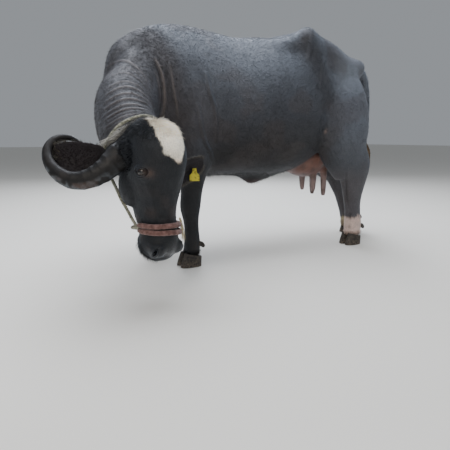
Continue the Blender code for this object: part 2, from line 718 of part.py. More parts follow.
def legs_and_trunk(body, hide):
    """Parts the body at the top of the forearms and the gaskins."""
    lower = sliced_open(copied(body, "legs"), (0, 0, LEG_CUT - GAP / 2), (0, 0, 1))
    legs = []
    for leg in islands(lower):
        spot = middle_of(leg)
        if len(leg.data.vertices) < 60 or 0.25 < spot.x < 0.95:
            bpy.data.objects.remove(leg, do_unlink=True)
            continue
        word = ("foreleg" if spot.x < 0.6 else "hindleg") + ("_left" if spot.y < 0 else "_right")
        legs.append((leg, word))
    for start, stop in ((-0.50, 0.20), (0.97, 1.80)):
        block = box("leg space", (start, -0.5, -0.2), (stop, 0.5, LEG_CUT + GAP / 2))
        body = without(body, block)
    for leg, word in legs:
        foot = foot_of(word)
        slant = Vector((-CORONET_SLOPE, 0, -1)).normalized()
        sliced(leg, Vector((foot[0], foot[1], CORONET + GAP / 2)), slant)
        named(leg, word, hide)
    return body


def foot_of(word):
    """Where the middle of a leg's hoof stands."""
    rows, step = (FORELEG, FAR_FORE_STEP) if word.startswith("fore") else (HINDLEG, FAR_HIND_STEP)
    x = rows[-1][0]
    if word.endswith("right"):
        x += step * (1.0 - rows[-1][2] / rows[0][2]) ** STEP_CURVE
    return x, (-STANCE if word.endswith("left") else STANCE)


def carved_head(head):
    """The head with its eye hollows, lids, nostrils and the line of the mouth."""
    for side in (-1, 1):
        centre = (side * EYE[0], EYE[1], EYE[2])
        lids = ball("lids", centre, [EYE_RADIUS + LID] * 3, frame=HEAD_FRAME)
        head = combined(head, lids, "UNION")
        bpy.data.objects.remove(lids, do_unlink=True)
        head = without(head, eye_cutter(side))
        nostril = ball("nostril", (side * 0.072, 0.058, -0.560), (0.010, 0.030, 0.019), turn=side * 0.85,
                       frame=HEAD_FRAME)
        head = without(head, nostril)
    mouth = tube("mouth", [(*(HEAD_FRAME @ Vector(p)), 0.004) for p in MOUTH], 22, 6)
    return without(head, mouth)


def udder_piece():
    """The udder with its four teats."""
    pieces = [
        ball("udder", (0.935, 0.0, 0.605), (0.175, 0.140, 0.120)),
        ball("udder rear", (1.050, 0.0, 0.640), (0.110, 0.110, 0.130)),
        ball("udder fore", (0.820, 0.0, 0.612), (0.125, 0.122, 0.088)),
    ]
    for x, top, bottom in ((0.972, 0.545, 0.380), (1.064, 0.560, 0.345)):
        for side in (-1, 1):
            rows = ((x - 0.002, side * 0.062, top, 0.036), (x, side * 0.064, top - 0.05, 0.028),
                    (x + 0.002, side * 0.064, bottom + 0.05, 0.0225),
                    (x + 0.003, side * 0.062, bottom + 0.012, 0.0175))
            pieces.append(tube("teat", rows, 12, 14, side=(1, 0, 0)))
    return fused("udder", pieces, 0.008, 4, UDDER_TRIANGLES)


def strand(name, points, skin, radius, count, around, side=None):
    """A taut rope or roll through points of the head's frame, sunk in a little where it meets the skin."""
    rows = []
    for point in through(points, count):
        place = HEAD_FRAME @ Vector(point)
        _, spot, normal, _ = skin.closest_point_on_mesh(place)
        rows.append(tuple(spot + normal * max((place - spot).dot(normal), radius * (1.0 - ROPE_SUNK))))
    path = np.array(rows)
    for _ in range(3):
        path[1:-1] = (path[:-2] + 2 * path[1:-1] + path[2:]) / 4
    size = np.full(len(path), radius)
    return loft(name, path, size, size, size, side, rounds=(0.8, 0.8), around=around)


def halter(skin, solids):
    """The two padded rolls over the nose and the rope that holds them."""
    upright = (0.0, 0.0, 1.0)
    rolls = []
    for word, points in (("upper", UPPER_ROLL), ("lower", LOWER_ROLL)):
        roll = strand("noseband_" + word, points, skin, ROLL_RADIUS, 16, 7, upright)
        for solid in solids:
            roll = without(roll, solid, False)
        rolls.append(roll)
    crown = strand("halter_rope", CROWN, skin, ROPE_RADIUS, 30, 5)
    strap = strand("strap", JAW_STRAP, skin, ROPE_RADIUS, 12, 5, upright)
    rope = united("halter_rope", [crown, strap])
    for solid in solids:
        rope = without(rope, solid, False)
    for roll in rolls:
        rope = without(rope, swollen(roll))
    return rolls, rope


def tag_plate(origin, across, facing):
    """The tag's plate, with its lower edge at the origin."""
    work = bmesh.new()
    rim = [work.verts.new(origin + across * x + Vector((0, 0, z))) for x, z in TAG_OUTLINE]
    moved = bmesh.ops.extrude_face_region(work, geom=[work.faces.new(rim)])["geom"]
    for thing in moved:
        if isinstance(thing, bmesh.types.BMVert):
            thing.co += facing * TAG_THICKNESS
    mesh = bpy.data.meshes.new("ear_tag")
    work.to_mesh(mesh)
    work.free()
    plate = keep(mesh, "ear_tag")
    outward(plate)
    return plate


def ear_tag(shell):
    """A plate that hangs from a stud through the left ear."""
    facing = (0.45 * RIGHT + 0.89 * FACE).normalized()
    across = facing.cross(Vector((0, 0, 1)))
    rise = Vector((0, 0, TAG_STUD))
    origin = HEAD_FRAME @ Vector(TAG_PLACE)
    hit, spot, _, _ = shell.ray_cast(origin + rise + facing * 0.2, -facing)
    if hit:
        origin += facing * ((spot - origin).dot(facing) + TAG_CLEARANCE)
    tag = tag_plate(origin, across, facing)
    for name, radius, stops in (("stud", STUD_RADIUS, STUD_STOPS), ("button", BUTTON_RADIUS, BUTTON_STOPS)):
        rows = [(*(origin + rise + facing * stop), radius) for stop in stops]
        piece = tube(name, rows, 3, 10, rounds=(0.0, 0.0), side=(0, 0, 1))
        tag = combined(tag, piece, "UNION")
        bpy.data.objects.remove(piece, do_unlink=True)
    tag = largest(tag)
    return tag, without(shell, swollen(tag))


def lock(root, belly, tip, half_width, across):
    """A flat lock of hair through three points, widest near its belly and drawn out to its tip."""
    path = through((root, belly, tip), LOCK_SECTIONS)
    share = np.linspace(0.0, 1.0, LOCK_SECTIONS)
    taper = (1.0 - 0.92 * share ** 2) * (0.65 + 0.35 * np.sin(math.pi * share ** 0.6))
    thick = LOCK_THICKNESS * taper
    return loft("lock", path, half_width * taper, thick, thick, across, rounds=(0.0, 0.0), around=4)


def switch_locks():
    """Layers of locks that hang round the tail's end, each a little longer, wider or more bent."""
    draw = np.random.default_rng(7)
    locks = []
    for count, first, root_z, belly_r, belly_z, tip_r, tip_z, half_width in SWITCH_LAYERS:
        for k in range(count):
            angle = first + 2.0 * math.pi * k / count
            out = np.array((math.cos(angle), math.sin(angle), 0.0))
            across = np.array((-out[1], out[0], 0.0))
            bend, drop, wide = draw.uniform(-1.0, 1.0, 3)
            root = np.array((SWITCH_STUB[1][0], 0.0, root_z)) + out * LOCK_ROOT_RADIUS
            belly = np.array((SWITCH_BELLY[0], 0.0, belly_z + 0.008 * drop)) + out * belly_r
            tip = np.array((SWITCH_BELLY[1], 0.0, tip_z + 0.014 * drop)) + out * tip_r + across * 0.012 * bend
            locks.append(lock(root, belly, tip, half_width * (1.0 + 0.12 * wide), across))
    return locks


def tail_switch():
    """The tuft of long hair at the end of the tail."""
    stub = sliced(tube("tail_switch", SWITCH_STUB, 5, 10, side=(0, 1, 0)), (0, 0, TAIL_END), (0, 0, 1))
    return united("tail_switch", [stub] + switch_locks())


def dewclaw(name, x, y, z):
    """A small blunt claw behind the fetlock."""
    rows = ((x - 0.024, y, z + 0.012, 0.016), (x - 0.004, y, z + 0.002, 0.0155),
            (x + 0.008, y, z - 0.010, 0.011))
    spur = tube(name, rows, 4, 10, rounds=(0.2, 0.7), side=(0, 1, 0))
    return thinned(spur, DEWCLAW_TRIANGLES)


def set_down():
    """Moves every node so that the middle of the whole animal's box stands over the origin, on the floor."""
    nodes = list(bpy.data.objects)
    corners = np.array([tuple(v.co) for n in nodes for v in n.data.vertices])
    low, high = corners.min(axis=0), corners.max(axis=0)
    for node in nodes:
        node.location = (-(low[0] + high[0]) / 2, -(low[1] + high[1]) / 2, -low[2])


def main():
    """Builds every node."""
    start_afresh()
    hide = material("hide", (0.035, 0.036, 0.040), 0.55)
    pink = material("udder skin", (0.19, 0.13, 0.115), 0.5)
    keratin = material("horn", (0.045, 0.043, 0.045), 0.4)
    hoof = material("hoof horn", (0.16, 0.15, 0.135), 0.7)
    wet = material("eye", (0.012, 0.009, 0.008), 0.08)
    hair = material("switch hair", (0.42, 0.33, 0.20), 0.7)
    cloth = material("noseband cloth", (0.33, 0.16, 0.14), 0.9)
    rope_fibre = material("rope", (0.20, 0.21, 0.17), 0.9)
    plastic = material("tag plastic", (0.62, 0.55, 0.05), 0.45)

    barrel = melted("trunk", trunk_pieces(), BODY_VOXEL, 30)
    body = fused("body", [barrel, neck_piece()] + leg_pieces() + head_pieces(), BODY_VOXEL, 8, BODY_TRIANGLES)
    head = fused("head", [neck_piece()] + head_pieces(), HEAD_VOXEL, 6, 4 * HEAD_TRIANGLES)
    whole_head = copied(head, "whole head")
    back = Vector((0, -0.978, 0.207))
    start = HEAD_FRAME @ Vector((0.0, -0.181 + GAP / 2, 0.0))
    head = sliced(head, start, (HEAD_FRAME.to_3x3() @ back).normalized())
    head = thinned(head, HEAD_TRIANGLES)
    block = head_block("head space", 0.0)
    body = without(body, block)

    neck = sliced(copied(body, "neck"), NECK_PLANE[0] + GAP / 2 * NECK_PLANE[1], -NECK_PLANE[1])
    body = sliced(body, NECK_PLANE[0] - GAP / 2 * NECK_PLANE[1], NECK_PLANE[1])
    body = legs_and_trunk(body, hide)

    head = carved_head(head)
    thick_head, thick_neck, thick_body = swollen(head), swollen(neck), swollen(body)
    for side, word in ((1, "right"), (-1, "left")):
        curl = without(without(horn("horn_" + word, side), thick_head, False), thick_neck, False)
        named(curl, "horn_" + word, keratin)
        shell = ear("ear_" + word, *(RIGHT_EAR if side > 0 else LEFT_EAR))
        shell = without(without(shell, thick_head, False), thick_neck, False)
        shell = without(shell, swollen(curl))
        named(shell, "ear_" + word, hide)
        eye = ball("eye_" + word, (side * EYE[0], EYE[1], EYE[2]), [EYE_RADIUS] * 3, frame=HEAD_FRAME)
        named(eye, "eye_" + word, wet)
    rolls, rope = halter(whole_head, (thick_head, thick_neck))
    bpy.data.objects.remove(whole_head, do_unlink=True)
    named(rope, "halter_rope", rope_fibre)
    for roll in rolls:
        named(roll, roll.name, cloth)
    tag, shell = ear_tag(bpy.data.objects["ear_left"])
    named(shell, "ear_left", hide)
    named(tag, "ear_tag", plastic)
    for leg in ("foreleg_left", "foreleg_right", "hindleg_left", "hindleg_right"):
        x, y = foot_of(leg)
        thick_leg = swollen(bpy.data.objects[leg])
        for side, word in ((-1, "a"), (1, "b")):
            end = leg + "_" + word
            named(claw("claw_" + end, x, y + side * CLAW_APART), "claw_" + end, hoof)
            spur = dewclaw("dewclaw_" + end, x + DEWCLAW[leg[:4]], y + side * DEWCLAW_APART, DEWCLAW_HEIGHT)
            named(without(spur, thick_leg, False), "dewclaw_" + end, hoof)
        bpy.data.objects.remove(thick_leg, do_unlink=True)
    tail = without(tube("tail", TAIL, 18, 10, side=(0, 1, 0)), thick_body, False)
    tail = sliced(tail, (0, 0, TAIL_END + GAP), (0, 0, -1))
    named(tail, "tail", hide)
    named(tail_switch(), "tail_switch", hair)
    udder = without(udder_piece(), thick_body, False)
    named(udder, "udder", pink)
    for thick in (thick_head, thick_neck, thick_body):
        bpy.data.objects.remove(thick, do_unlink=True)
    named(head, "head", hide)
    named(neck, "neck", hide)
    named(body, "trunk", hide)
    set_down()


main()
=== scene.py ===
# %% [markdown]
# # A water buffalo cow with her head lowered
#
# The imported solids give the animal's true size and stance. This notebook dresses them: one smooth skin
# over all the flesh, a short coat of tufts, horns, hooves, wet eyes, a rope halter and an ear tag.
# Everything is worked out in metres from the same few tables of body measurements.

# %% Load the frame
import math

import bmesh
import bpy
import numpy as np
from mathutils import Matrix, Vector
from mathutils.bvhtree import BVHTree


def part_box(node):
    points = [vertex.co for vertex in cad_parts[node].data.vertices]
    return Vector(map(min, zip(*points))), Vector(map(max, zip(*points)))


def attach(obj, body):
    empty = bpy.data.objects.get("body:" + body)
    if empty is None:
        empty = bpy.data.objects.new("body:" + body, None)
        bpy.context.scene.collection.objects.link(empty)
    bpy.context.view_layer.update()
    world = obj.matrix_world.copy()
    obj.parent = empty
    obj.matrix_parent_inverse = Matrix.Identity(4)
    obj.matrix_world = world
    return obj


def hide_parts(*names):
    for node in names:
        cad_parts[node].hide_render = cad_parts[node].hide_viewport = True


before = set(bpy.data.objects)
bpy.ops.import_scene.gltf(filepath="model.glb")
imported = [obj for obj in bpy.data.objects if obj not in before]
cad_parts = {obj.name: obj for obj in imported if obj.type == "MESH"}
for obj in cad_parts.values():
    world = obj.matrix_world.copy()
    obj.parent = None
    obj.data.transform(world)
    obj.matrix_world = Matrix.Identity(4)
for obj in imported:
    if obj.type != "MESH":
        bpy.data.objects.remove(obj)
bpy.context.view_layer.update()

# %% [markdown]
# ## Where things are
#
# The body's measurements are given from the near forefoot, and the head has axes of its own: to the
# animal's right, out of the face, and up to the poll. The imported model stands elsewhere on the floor,
# so the step between the two is read from the eyeballs, whose centres are known in both.

# %% Frames of the body and the head
FACE = Vector((0.375, -0.927, 0.0)).normalized()
RIGHT = Vector((-0.927, -0.375, 0.0)).normalized()
UP = Vector((0.0, 0.0, 1.0))
HEAD_ZERO = Vector((-0.403, -0.735, 0.837))
HEAD_AXES = np.array((RIGHT, FACE, UP))
EYE = np.array((0.100, 0.032, -0.214))
EYE_RADIUS = 0.0225


def from_head(points):
    """Points of the head's frame in the body's frame: zero + right*x + face*y + up*z."""
    return np.asarray(points, float) @ HEAD_AXES + np.array(HEAD_ZERO)


def to_head(points):
    """The inverse: the differences from the head's zero, measured along its three axes."""
    return (np.asarray(points, float) - np.array(HEAD_ZERO)) @ HEAD_AXES.T


eye_middles = [(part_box(n)[0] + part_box(n)[1]) / 2 for n in ("eye_left", "eye_right")]
STEP = np.array((eye_middles[0] + eye_middles[1]) / 2) - from_head((0.0, EYE[1], EYE[2]))
print("step from the measurements to the packed model", STEP.round(4))

# %% [markdown]
# ## Curves and closed surfaces
#
# Most of an animal can be described by sections carried along a path. A Catmull-Rom curve turns a
# few measured rows into many, a section is an ellipse that may be wider above than below, and the
# two ends are rounded off to a pole. All of it is arithmetic on whole arrays.

# %% Curves, sweeps and ellipsoids
CAP = np.array((0.35, 0.65, 0.85, 0.96))     # places of the rings that round off a sweep's end


def through(rows, count):
    """Catmull-Rom: 0.5 (2b + (c-a)u + (2a-5b+4c-d)u^2 + (3b-a-3c+d)u^3) between rows b and c."""
    rows = np.asarray(rows, float)
    ends = np.vstack((2 * rows[0] - rows[1], rows, 2 * rows[-1] - rows[-2]))
    place = np.linspace(0.0, len(rows) - 1.0, count)
    first = np.minimum(place.astype(int), len(rows) - 2)
    u = (place - first)[:, None]
    a, b, c, d = (ends[first + i] for i in range(4))
    return 0.5 * (2 * b + (c - a) * u + (2 * a - 5 * b + 4 * c - d) * u ** 2
                  + (3 * b - a - 3 * c + d) * u ** 3)


def unit(rows):
    """Each vector divided by its length."""
    rows = np.asarray(rows, float)
    return rows / np.maximum(np.linalg.norm(rows, axis=-1, keepdims=True), 1e-12)


def norms(rows):
    """The length of each row."""
    return np.linalg.norm(rows, axis=1)


def turns(count):
    """So many equal angles round a circle."""
    return np.linspace(0.0, 2.0 * math.pi, count, endpoint=False)


def skin_of(rings, first_pole, last_pole):
    """Points and faces of a closed surface: quads between rings, and a fan of triangles at each pole."""
    count, around = rings.shape[:2]
    points = np.vstack((rings.reshape(-1, 3), first_pole, last_pole))
    ring, turn = np.meshgrid(np.arange(count - 1), np.arange(around), indexing="ij")
    low, next_low = ring * around + turn, ring * around + (turn + 1) % around
    quads = np.stack((low, next_low, next_low + around, low + around), -1).reshape(-1, 4)
    turn = np.arange(around)
    after, last = (turn + 1) % around, (count - 1) * around
    first_fan = np.stack((np.full(around, len(points) - 2), after, turn), 1)
    last_fan = np.stack((np.full(around, len(points) - 1), last + turn, last + after), 1)
    return points, [quads, np.vstack((first_fan, last_fan))]


def frames_along(path, side=None):
    """Directions along, across and up at each point of a path; across is level unless side is given."""
    along = unit(np.gradient(path, axis=0))
    across = np.cross((0.0, 0.0, 1.0), along) if side is None else np.zeros((len(path), 3)) + side
    across = unit(across - (across * along).sum(1, keepdims=True) * along)
    return along, across, np.cross(along, across)


def sweep(path, wide, high, low, side=None, bias=0.0, rounds=(0.5, 0.5), around=40, relief=None):
    """centre(s) + wide cos(t) (1 + bias sin(t)) across + (high or low) sin(t) up, ends rounded to poles."""
    along, across, up = frames_along(path, side)
    turn = turns(around)
    cos, sin = np.cos(turn), np.sin(turn)
    bias = np.zeros(len(path)) + bias
    x = wide[:, None] * cos * (1.0 + bias[:, None] * sin)
    y = np.where(sin > 0, high[:, None], low[:, None]) * sin
    if relief is not None:
        x, y = x * relief, y * relief
    rings = path[:, None] + x[..., None] * across[:, None] + y[..., None] * up[:, None]
    poles = []
    for end, sign, depth in ((0, -1.0, rounds[0]), (-1, 1.0, rounds[1])):
        reach = wide[end] * depth * sign * along[end]
        s = CAP[:, None, None]
        cap = path[end] + (rings[end] - path[end]) * np.sqrt(1.0 - s * s) + reach * s
        rings = np.concatenate((cap[::-1], rings)) if end == 0 else np.concatenate((rings, cap))
        poles.append(path[end] + reach)
    return skin_of(rings, poles[0], poles[1])


def rod(rows, count=24, around=20, side=(0.0, 1.0, 0.0), rounds=(0.6, 0.6)):
    """A round sweep through rows of x, y, z and radius."""
    rows = through(rows, count)
    return sweep(rows[:, :3], rows[:, 3], rows[:, 3], rows[:, 3], side, 0.0, rounds, around)


def egg(centre, radii, tilt=0.0):
    """Ellipsoid (a cos v cos u, b cos v sin u, c sin v), tilted about Y."""
    u = turns(28)
    v = np.linspace(-1.45, 1.45, 17)[:, None]
    ball = np.stack((np.cos(v) * np.cos(u), np.cos(v) * np.sin(u), np.sin(v) + 0.0 * u), -1) * radii
    spin = np.array(Matrix.Rotation(tilt, 3, "Y")).T
    pole = np.array((0.0, 0.0, radii[2]))
    return skin_of(*(p @ spin + centre for p in (ball, -pole, pole)))


def gathered(pieces):
    """Points and faces of several surfaces as one."""
    points, faces, start = [], [], 0
    for some_points, some_faces in pieces:
        points.append(some_points)
        faces += [f + start for f in some_faces]
        start += len(some_points)
    by_corners = [[f for f in faces if f.shape[1] == corners] for corners in (4, 3)]
    return np.vstack(points), [np.vstack(f) for f in by_corners if f]


def mesh_of(name, points, faces):
    """Fills a new mesh from arrays."""
    counts = np.concatenate([np.full(len(f), f.shape[1]) for f in faces])
    corners = np.concatenate([f.ravel() for f in faces])
    mesh = bpy.data.meshes.new(name)
    mesh.vertices.add(len(points))
    mesh.vertices.foreach_set("co", np.asarray(points, np.float32).ravel())
    mesh.loops.add(len(corners))
    mesh.loops.foreach_set("vertex_index", corners.astype(np.int32))
    mesh.polygons.add(len(counts))
    mesh.polygons.foreach_set("loop_start", (np.cumsum(counts) - counts).astype(np.int32))
    mesh.update(calc_edges=True)
    mesh.validate()
    return mesh


def show(name, mesh):
    """Puts a mesh into the scene."""
    thing = bpy.data.objects.new(name, mesh)
    bpy.context.scene.collection.objects.link(thing)
    return thing


def rows_of(things, name, width, kind=np.int32):
    """A property of a mesh's points, edges or triangles as rows of numbers."""
    flat = np.empty(len(things) * width, kind)
    things.foreach_get(name, flat)
    return flat.reshape(-1, width)


def points_of(mesh, name="co"):
    """The mesh's points as an array, or its smooth normals."""
    return rows_of(mesh.vertices, name, 3, np.float32).astype(float)


def triangles_of(mesh):
    """The mesh's triangles as rows of three point numbers."""
    mesh.calc_loop_triangles()
    return rows_of(mesh.loop_triangles, "vertices", 3)


def move_points(mesh, points):
    """Puts the mesh's points where the array says."""
    mesh.vertices.foreach_set("co", points.astype(np.float32).ravel())
    mesh.update()


def give(mesh, name, values):
    """Stores one colour or one number for each point of a mesh."""
    values = np.asarray(values, np.float32)
    if values.ndim == 1:
        mesh.attributes.new(name, "FLOAT", "POINT").data.foreach_set("value", values)
    else:
        flat = np.ones((len(values), 4), np.float32)
        flat[:, :3] = values
        mesh.attributes.new(name, "FLOAT_COLOR", "POINT").data.foreach_set("color", flat.ravel())


def with_modifier(name, mesh, kind, **settings):
    """The mesh after one modifier, as a new mesh."""
    thing = show(name, mesh)
    change = thing.modifiers.new(kind.lower(), kind)
    for key, value in settings.items():
        setattr(change, key, value)
    bpy.context.view_layer.update()
    seen = thing.evaluated_get(bpy.context.evaluated_depsgraph_get())
    made = bpy.data.meshes.new_from_object(seen)
    bpy.data.objects.remove(thing, do_unlink=True)
    return made


print("helpers ready")

# %% [markdown]
# ## The body's measurements
#
# A breed is known by its proportions, so these are the driving numbers: the barrel, the bent neck,
# the legs and the long, broad-fronted head, each as a few rows along its axis.

# %% Tables of the body
# x, top, bottom, half width, and how much wider the section is above than below
TRUNK = (
    (-0.40, 1.080, 0.680, 0.110, 0.00), (-0.33, 1.210, 0.590, 0.170, 0.00),
    (-0.22, 1.340, 0.535, 0.220, -0.08), (-0.10, 1.403, 0.505, 0.248, -0.16),
    (0.04, 1.410, 0.500, 0.268, -0.20), (0.16, 1.392, 0.515, 0.295, -0.18),
    (0.31, 1.366, 0.520, 0.335, -0.14), (0.42, 1.369, 0.515, 0.355, -0.10),
    (0.56, 1.392, 0.505, 0.360, -0.06), (0.70, 1.424, 0.535, 0.342, 0.00),
    (0.84, 1.440, 0.700, 0.302, 0.07), (0.98, 1.402, 0.748, 0.262, 0.06),
    (1.12, 1.375, 0.760, 0.218, 0.00), (1.24, 1.335, 0.820, 0.165, 0.00),
    (1.33, 1.300, 0.900, 0.095, 0.00),
)
# x, y, z, half width, height above and depth below the axis
NECK = (
    (-0.02, 0.000, 1.050, 0.195, 0.300, 0.330), (-0.17, -0.010, 1.035, 0.190, 0.290, 0.320),
    (-0.258, -0.065, 0.998, 0.158, 0.250, 0.293), (-0.338, -0.175, 0.940, 0.148, 0.208, 0.260),
    (-0.418, -0.315, 0.880, 0.148, 0.200, 0.240), (-0.440, -0.450, 0.805, 0.141, 0.175, 0.215),
    (-0.445, -0.575, 0.730, 0.130, 0.148, 0.188), (-0.430, -0.655, 0.680, 0.105, 0.118, 0.150),
)
# x, distance from the middle plane, z, half length fore and aft, half width
FORELEG = (
    (0.045, 0.150, 1.060, 0.150, 0.080), (0.040, 0.180, 0.900, 0.150, 0.090),
    (0.030, 0.190, 0.760, 0.132, 0.086), (0.020, 0.188, 0.650, 0.110, 0.076),
    (0.010, 0.178, 0.570, 0.092, 0.066), (0.004, 0.170, 0.500, 0.079, 0.059),
    (0.000, 0.164, 0.430, 0.070, 0.055), (-0.006, 0.160, 0.360, 0.069, 0.058),
    (-0.004, 0.160, 0.295, 0.056, 0.050), (0.000, 0.160, 0.235, 0.050, 0.045),
    (0.002, 0.160, 0.170, 0.054, 0.050), (0.003, 0.160, 0.130, 0.056, 0.052),
    (-0.002, 0.160, 0.095, 0.055, 0.053), (-0.006, 0.160, 0.074, 0.058, 0.055),
)
HINDLEG = (
    (1.000, 0.130, 1.240, 0.130, 0.050), (1.020, 0.150, 1.170, 0.190, 0.068),
    (1.050, 0.176, 1.050, 0.240, 0.092), (1.070, 0.194, 0.920, 0.248, 0.108),
    (1.095, 0.202, 0.790, 0.226, 0.108), (1.125, 0.197, 0.690, 0.200, 0.092),
    (1.182, 0.186, 0.600, 0.170, 0.074), (1.236, 0.175, 0.540, 0.157, 0.060),
    (1.250, 0.168, 0.470, 0.125, 0.052), (1.252, 0.163, 0.380, 0.096, 0.048),
    (1.256, 0.160, 0.300, 0.076, 0.047), (1.264, 0.160, 0.220, 0.069, 0.050),
    (1.270, 0.160, 0.160, 0.074, 0.057), (1.269, 0.160, 0.115, 0.072, 0.058),
    (1.264, 0.160, 0.074, 0.066, 0.057),
)
FAR_FORE_STEP = -0.115       # how far the right forefoot stands ahead of the left one
FAR_HIND_STEP = 0.300        # how far the right hind foot stands behind the left one
STEP_CURVE = 1.4             # how much of such a step lies low in the leg
# height under the poll, half width, extent towards the face, extent towards the jaw
HEAD = (
    (-0.592, 0.062, 0.062, 0.062), (-0.558, 0.086, 0.091, 0.090), (-0.520, 0.088, 0.099, 0.098),
    (-0.480, 0.078, 0.099, 0.095), (-0.430, 0.076, 0.093, 0.132), (-0.370, 0.080, 0.097, 0.154),
    (-0.290, 0.099, 0.119, 0.178), (-0.225, 0.112, 0.139, 0.195), (-0.155, 0.123, 0.148, 0.168),
    (-0.090, 0.121, 0.126, 0.145), (-0.040, 0.104, 0.082, 0.125), (-0.008, 0.062, 0.035, 0.085),
)
# root and tip in the head's frame, where the cup looks, how far the middle hangs, and the width
EARS = {
    "right": ((0.087, -0.160, -0.190), (0.288, -0.352, -0.142), (1.0, 0.95, -0.1), 0.006, 0.172),
    "left": ((-0.092, -0.095, -0.270), (-0.376, -0.078, -0.195), (-0.10, 1.0, -0.15), 0.004, 0.120),
}
EAR_THICKNESS = 0.009
# x, y, z, radius
TAIL = (
    (1.300, 0.0, 1.240, 0.054), (1.385, 0.0, 1.228, 0.047), (1.445, 0.0, 1.165, 0.037),
    (1.478, 0.0, 1.050, 0.030), (1.487, 0.0, 0.930, 0.026), (1.484, 0.0, 0.820, 0.022),
    (1.484, 0.0, 0.725, 0.016),
)
# bones and flesh that show through the skin of one flank: x, y, z and radius along each rod
HOOK_BONE = ((0.86, 0.06, 1.385, 0.060), (0.80, 0.16, 1.385, 0.060), (0.752, 0.235, 1.382, 0.058),
             (0.742, 0.262, 1.378, 0.058))
FLANK_EDGE = ((0.742, 0.250, 1.370, 0.058), (0.785, 0.262, 1.28, 0.060), (0.845, 0.254, 1.15, 0.066),
              (0.91, 0.228, 1.02, 0.078))
LOIN = ((0.38, 0.130, 1.255, 0.050), (0.56, 0.165, 1.290, 0.060), (0.72, 0.200, 1.330, 0.062))
CROUP = ((0.78, 0.225, 1.330, 0.062), (0.93, 0.195, 1.286, 0.090), (1.10, 0.155, 1.212, 0.095),
         (1.25, 0.122, 1.228, 0.072), (1.318, 0.110, 1.238, 0.062))
# middle, radii and tilt of the shoulder blade, the upper arm and the stifle, and of the brisket
FLANK_EGGS = (((-0.01, 0.150, 1.01), (0.16, 0.085, 0.26), 0.25),
              ((-0.21, 0.150, 0.86), (0.12, 0.085, 0.17), 0.3),
              ((0.93, 0.195, 0.82), (0.13, 0.07, 0.13), -0.5))
BRISKET = ((-0.30, -0.01, 0.66), (0.13, 0.115, 0.15), 0.3)
# x, top, bottom and half width of the fold of skin at the navel
NAVEL_FOLD = ((0.39, 0.585, 0.520, 0.02), (0.44, 0.60, 0.478, 0.034), (0.49, 0.61, 0.432, 0.042),
              (0.55, 0.61, 0.444, 0.042), (0.62, 0.60, 0.474, 0.036), (0.71, 0.59, 0.512, 0.02))
# middle and radii, in the head's frame, of brow, cheek, horn base and nostril wing, and of the chin
FACE_EGGS = (((0.085, 0.034, -0.200), (0.040, 0.055, 0.046)),
             ((0.066, -0.100, -0.285), (0.045, 0.070, 0.095)),
             ((0.085, -0.070, -0.135), (0.055, 0.070, 0.065)),
             ((0.050, 0.045, -0.548), (0.040, 0.050, 0.042)))
CHIN = ((0.0, -0.045, -0.560), (0.058, 0.050, 0.045))
UDDER_EGGS = (((0.935, 0.0, 0.605), (0.175, 0.140, 0.120)), ((1.050, 0.0, 0.640), (0.110, 0.110, 0.130)),
              ((0.820, 0.0, 0.612), (0.125, 0.122, 0.088)))
TEATS = ((0.972, 0.545, 0.380), (1.064, 0.560, 0.345))     # x, top and bottom
print("rows:", len(TRUNK), len(NECK), len(FORELEG), len(HINDLEG), len(HEAD))

# %% Surfaces of the body


def flat_sweep(rows, count, **shape):
    """A sweep along X through rows of x, top, bottom, half width and perhaps the bias of the section."""
    rows = through(rows, count)
    half = (rows[:, 1] - rows[:, 2]) / 2
    path = np.stack((rows[:, 0], 0 * half, rows[:, 2] + half), 1)
    bias = rows[:, 4] if rows.shape[1] > 4 else 0.0
    return sweep(path, rows[:, 3], half, half, (0, 1, 0), bias, **shape)


def trunk_forms():
    """Barrel, hips, loin, shoulder blades, brisket and the fold of skin at the navel."""
    forms = [flat_sweep(TRUNK, 60, rounds=(0.3, 0.35), around=56)]
    for s in (-1, 1):
        forms.append(rod(np.array(HOOK_BONE) * (1, s, 1, 1), side=(1, 0, 0)))
        forms += [rod(np.array(rows) * (1, s, 1, 1)) for rows in (FLANK_EDGE, LOIN, CROUP)]
        forms += [egg(np.array(middle) * (1, s, 1), radii, tilt) for middle, radii, tilt in FLANK_EGGS]
    return forms + [egg(*BRISKET), flat_sweep(NAVEL_FOLD, 24)]


def leg_form(rows, side, step):
    """A leg from inside the trunk to the coronet; the foot's step grows as (1 - z/top)^curve."""
    rows = through(rows, 60)
    shift = step * np.clip(1.0 - rows[:, 2] / rows[0, 2], 0.0, 1.0) ** STEP_CURVE
    path = np.stack((rows[:, 0] + shift, side * rows[:, 1], rows[:, 2]), 1)
    return sweep(path, rows[:, 3], rows[:, 4], rows[:, 4], (1, 0, 0), rounds=(0.5, 0.1), around=36)


def neck_form():
    """The neck, bent to her left and down."""
    rows = through(NECK, 60)
    return sweep(rows[:, :3], rows[:, 3], rows[:, 4], rows[:, 5], rounds=(0.3, 0.4), around=48)


def head_egg(middle, radii):
    """An ellipsoid in the head's frame."""
    points, faces = egg(middle, radii)
    return from_head(points), faces


def head_forms():
    """Skull and jaw as one sweep, with brows, cheeks, horn roots, nostril wings and chin."""
    rows = through(HEAD, 64)
    path = np.outer(rows[:, 0], UP)
    points, faces = sweep(path, *rows.T[1:], (1, 0, 0), rounds=(0.35, 0.12), around=56)
    eggs = [head_egg(np.array(middle) * (s, 1, 1), radii) for s in (-1, 1) for middle, radii in FACE_EGGS]
    return [(from_head(points), faces)] + eggs + [head_egg(*CHIN)]


def leaf(s):
    """Share of an ear's full width at the place s between its root and its tip."""
    return np.sqrt(np.clip(1.0 - ((s - 0.42) / 0.59) ** 2, 0.0, 1.0))


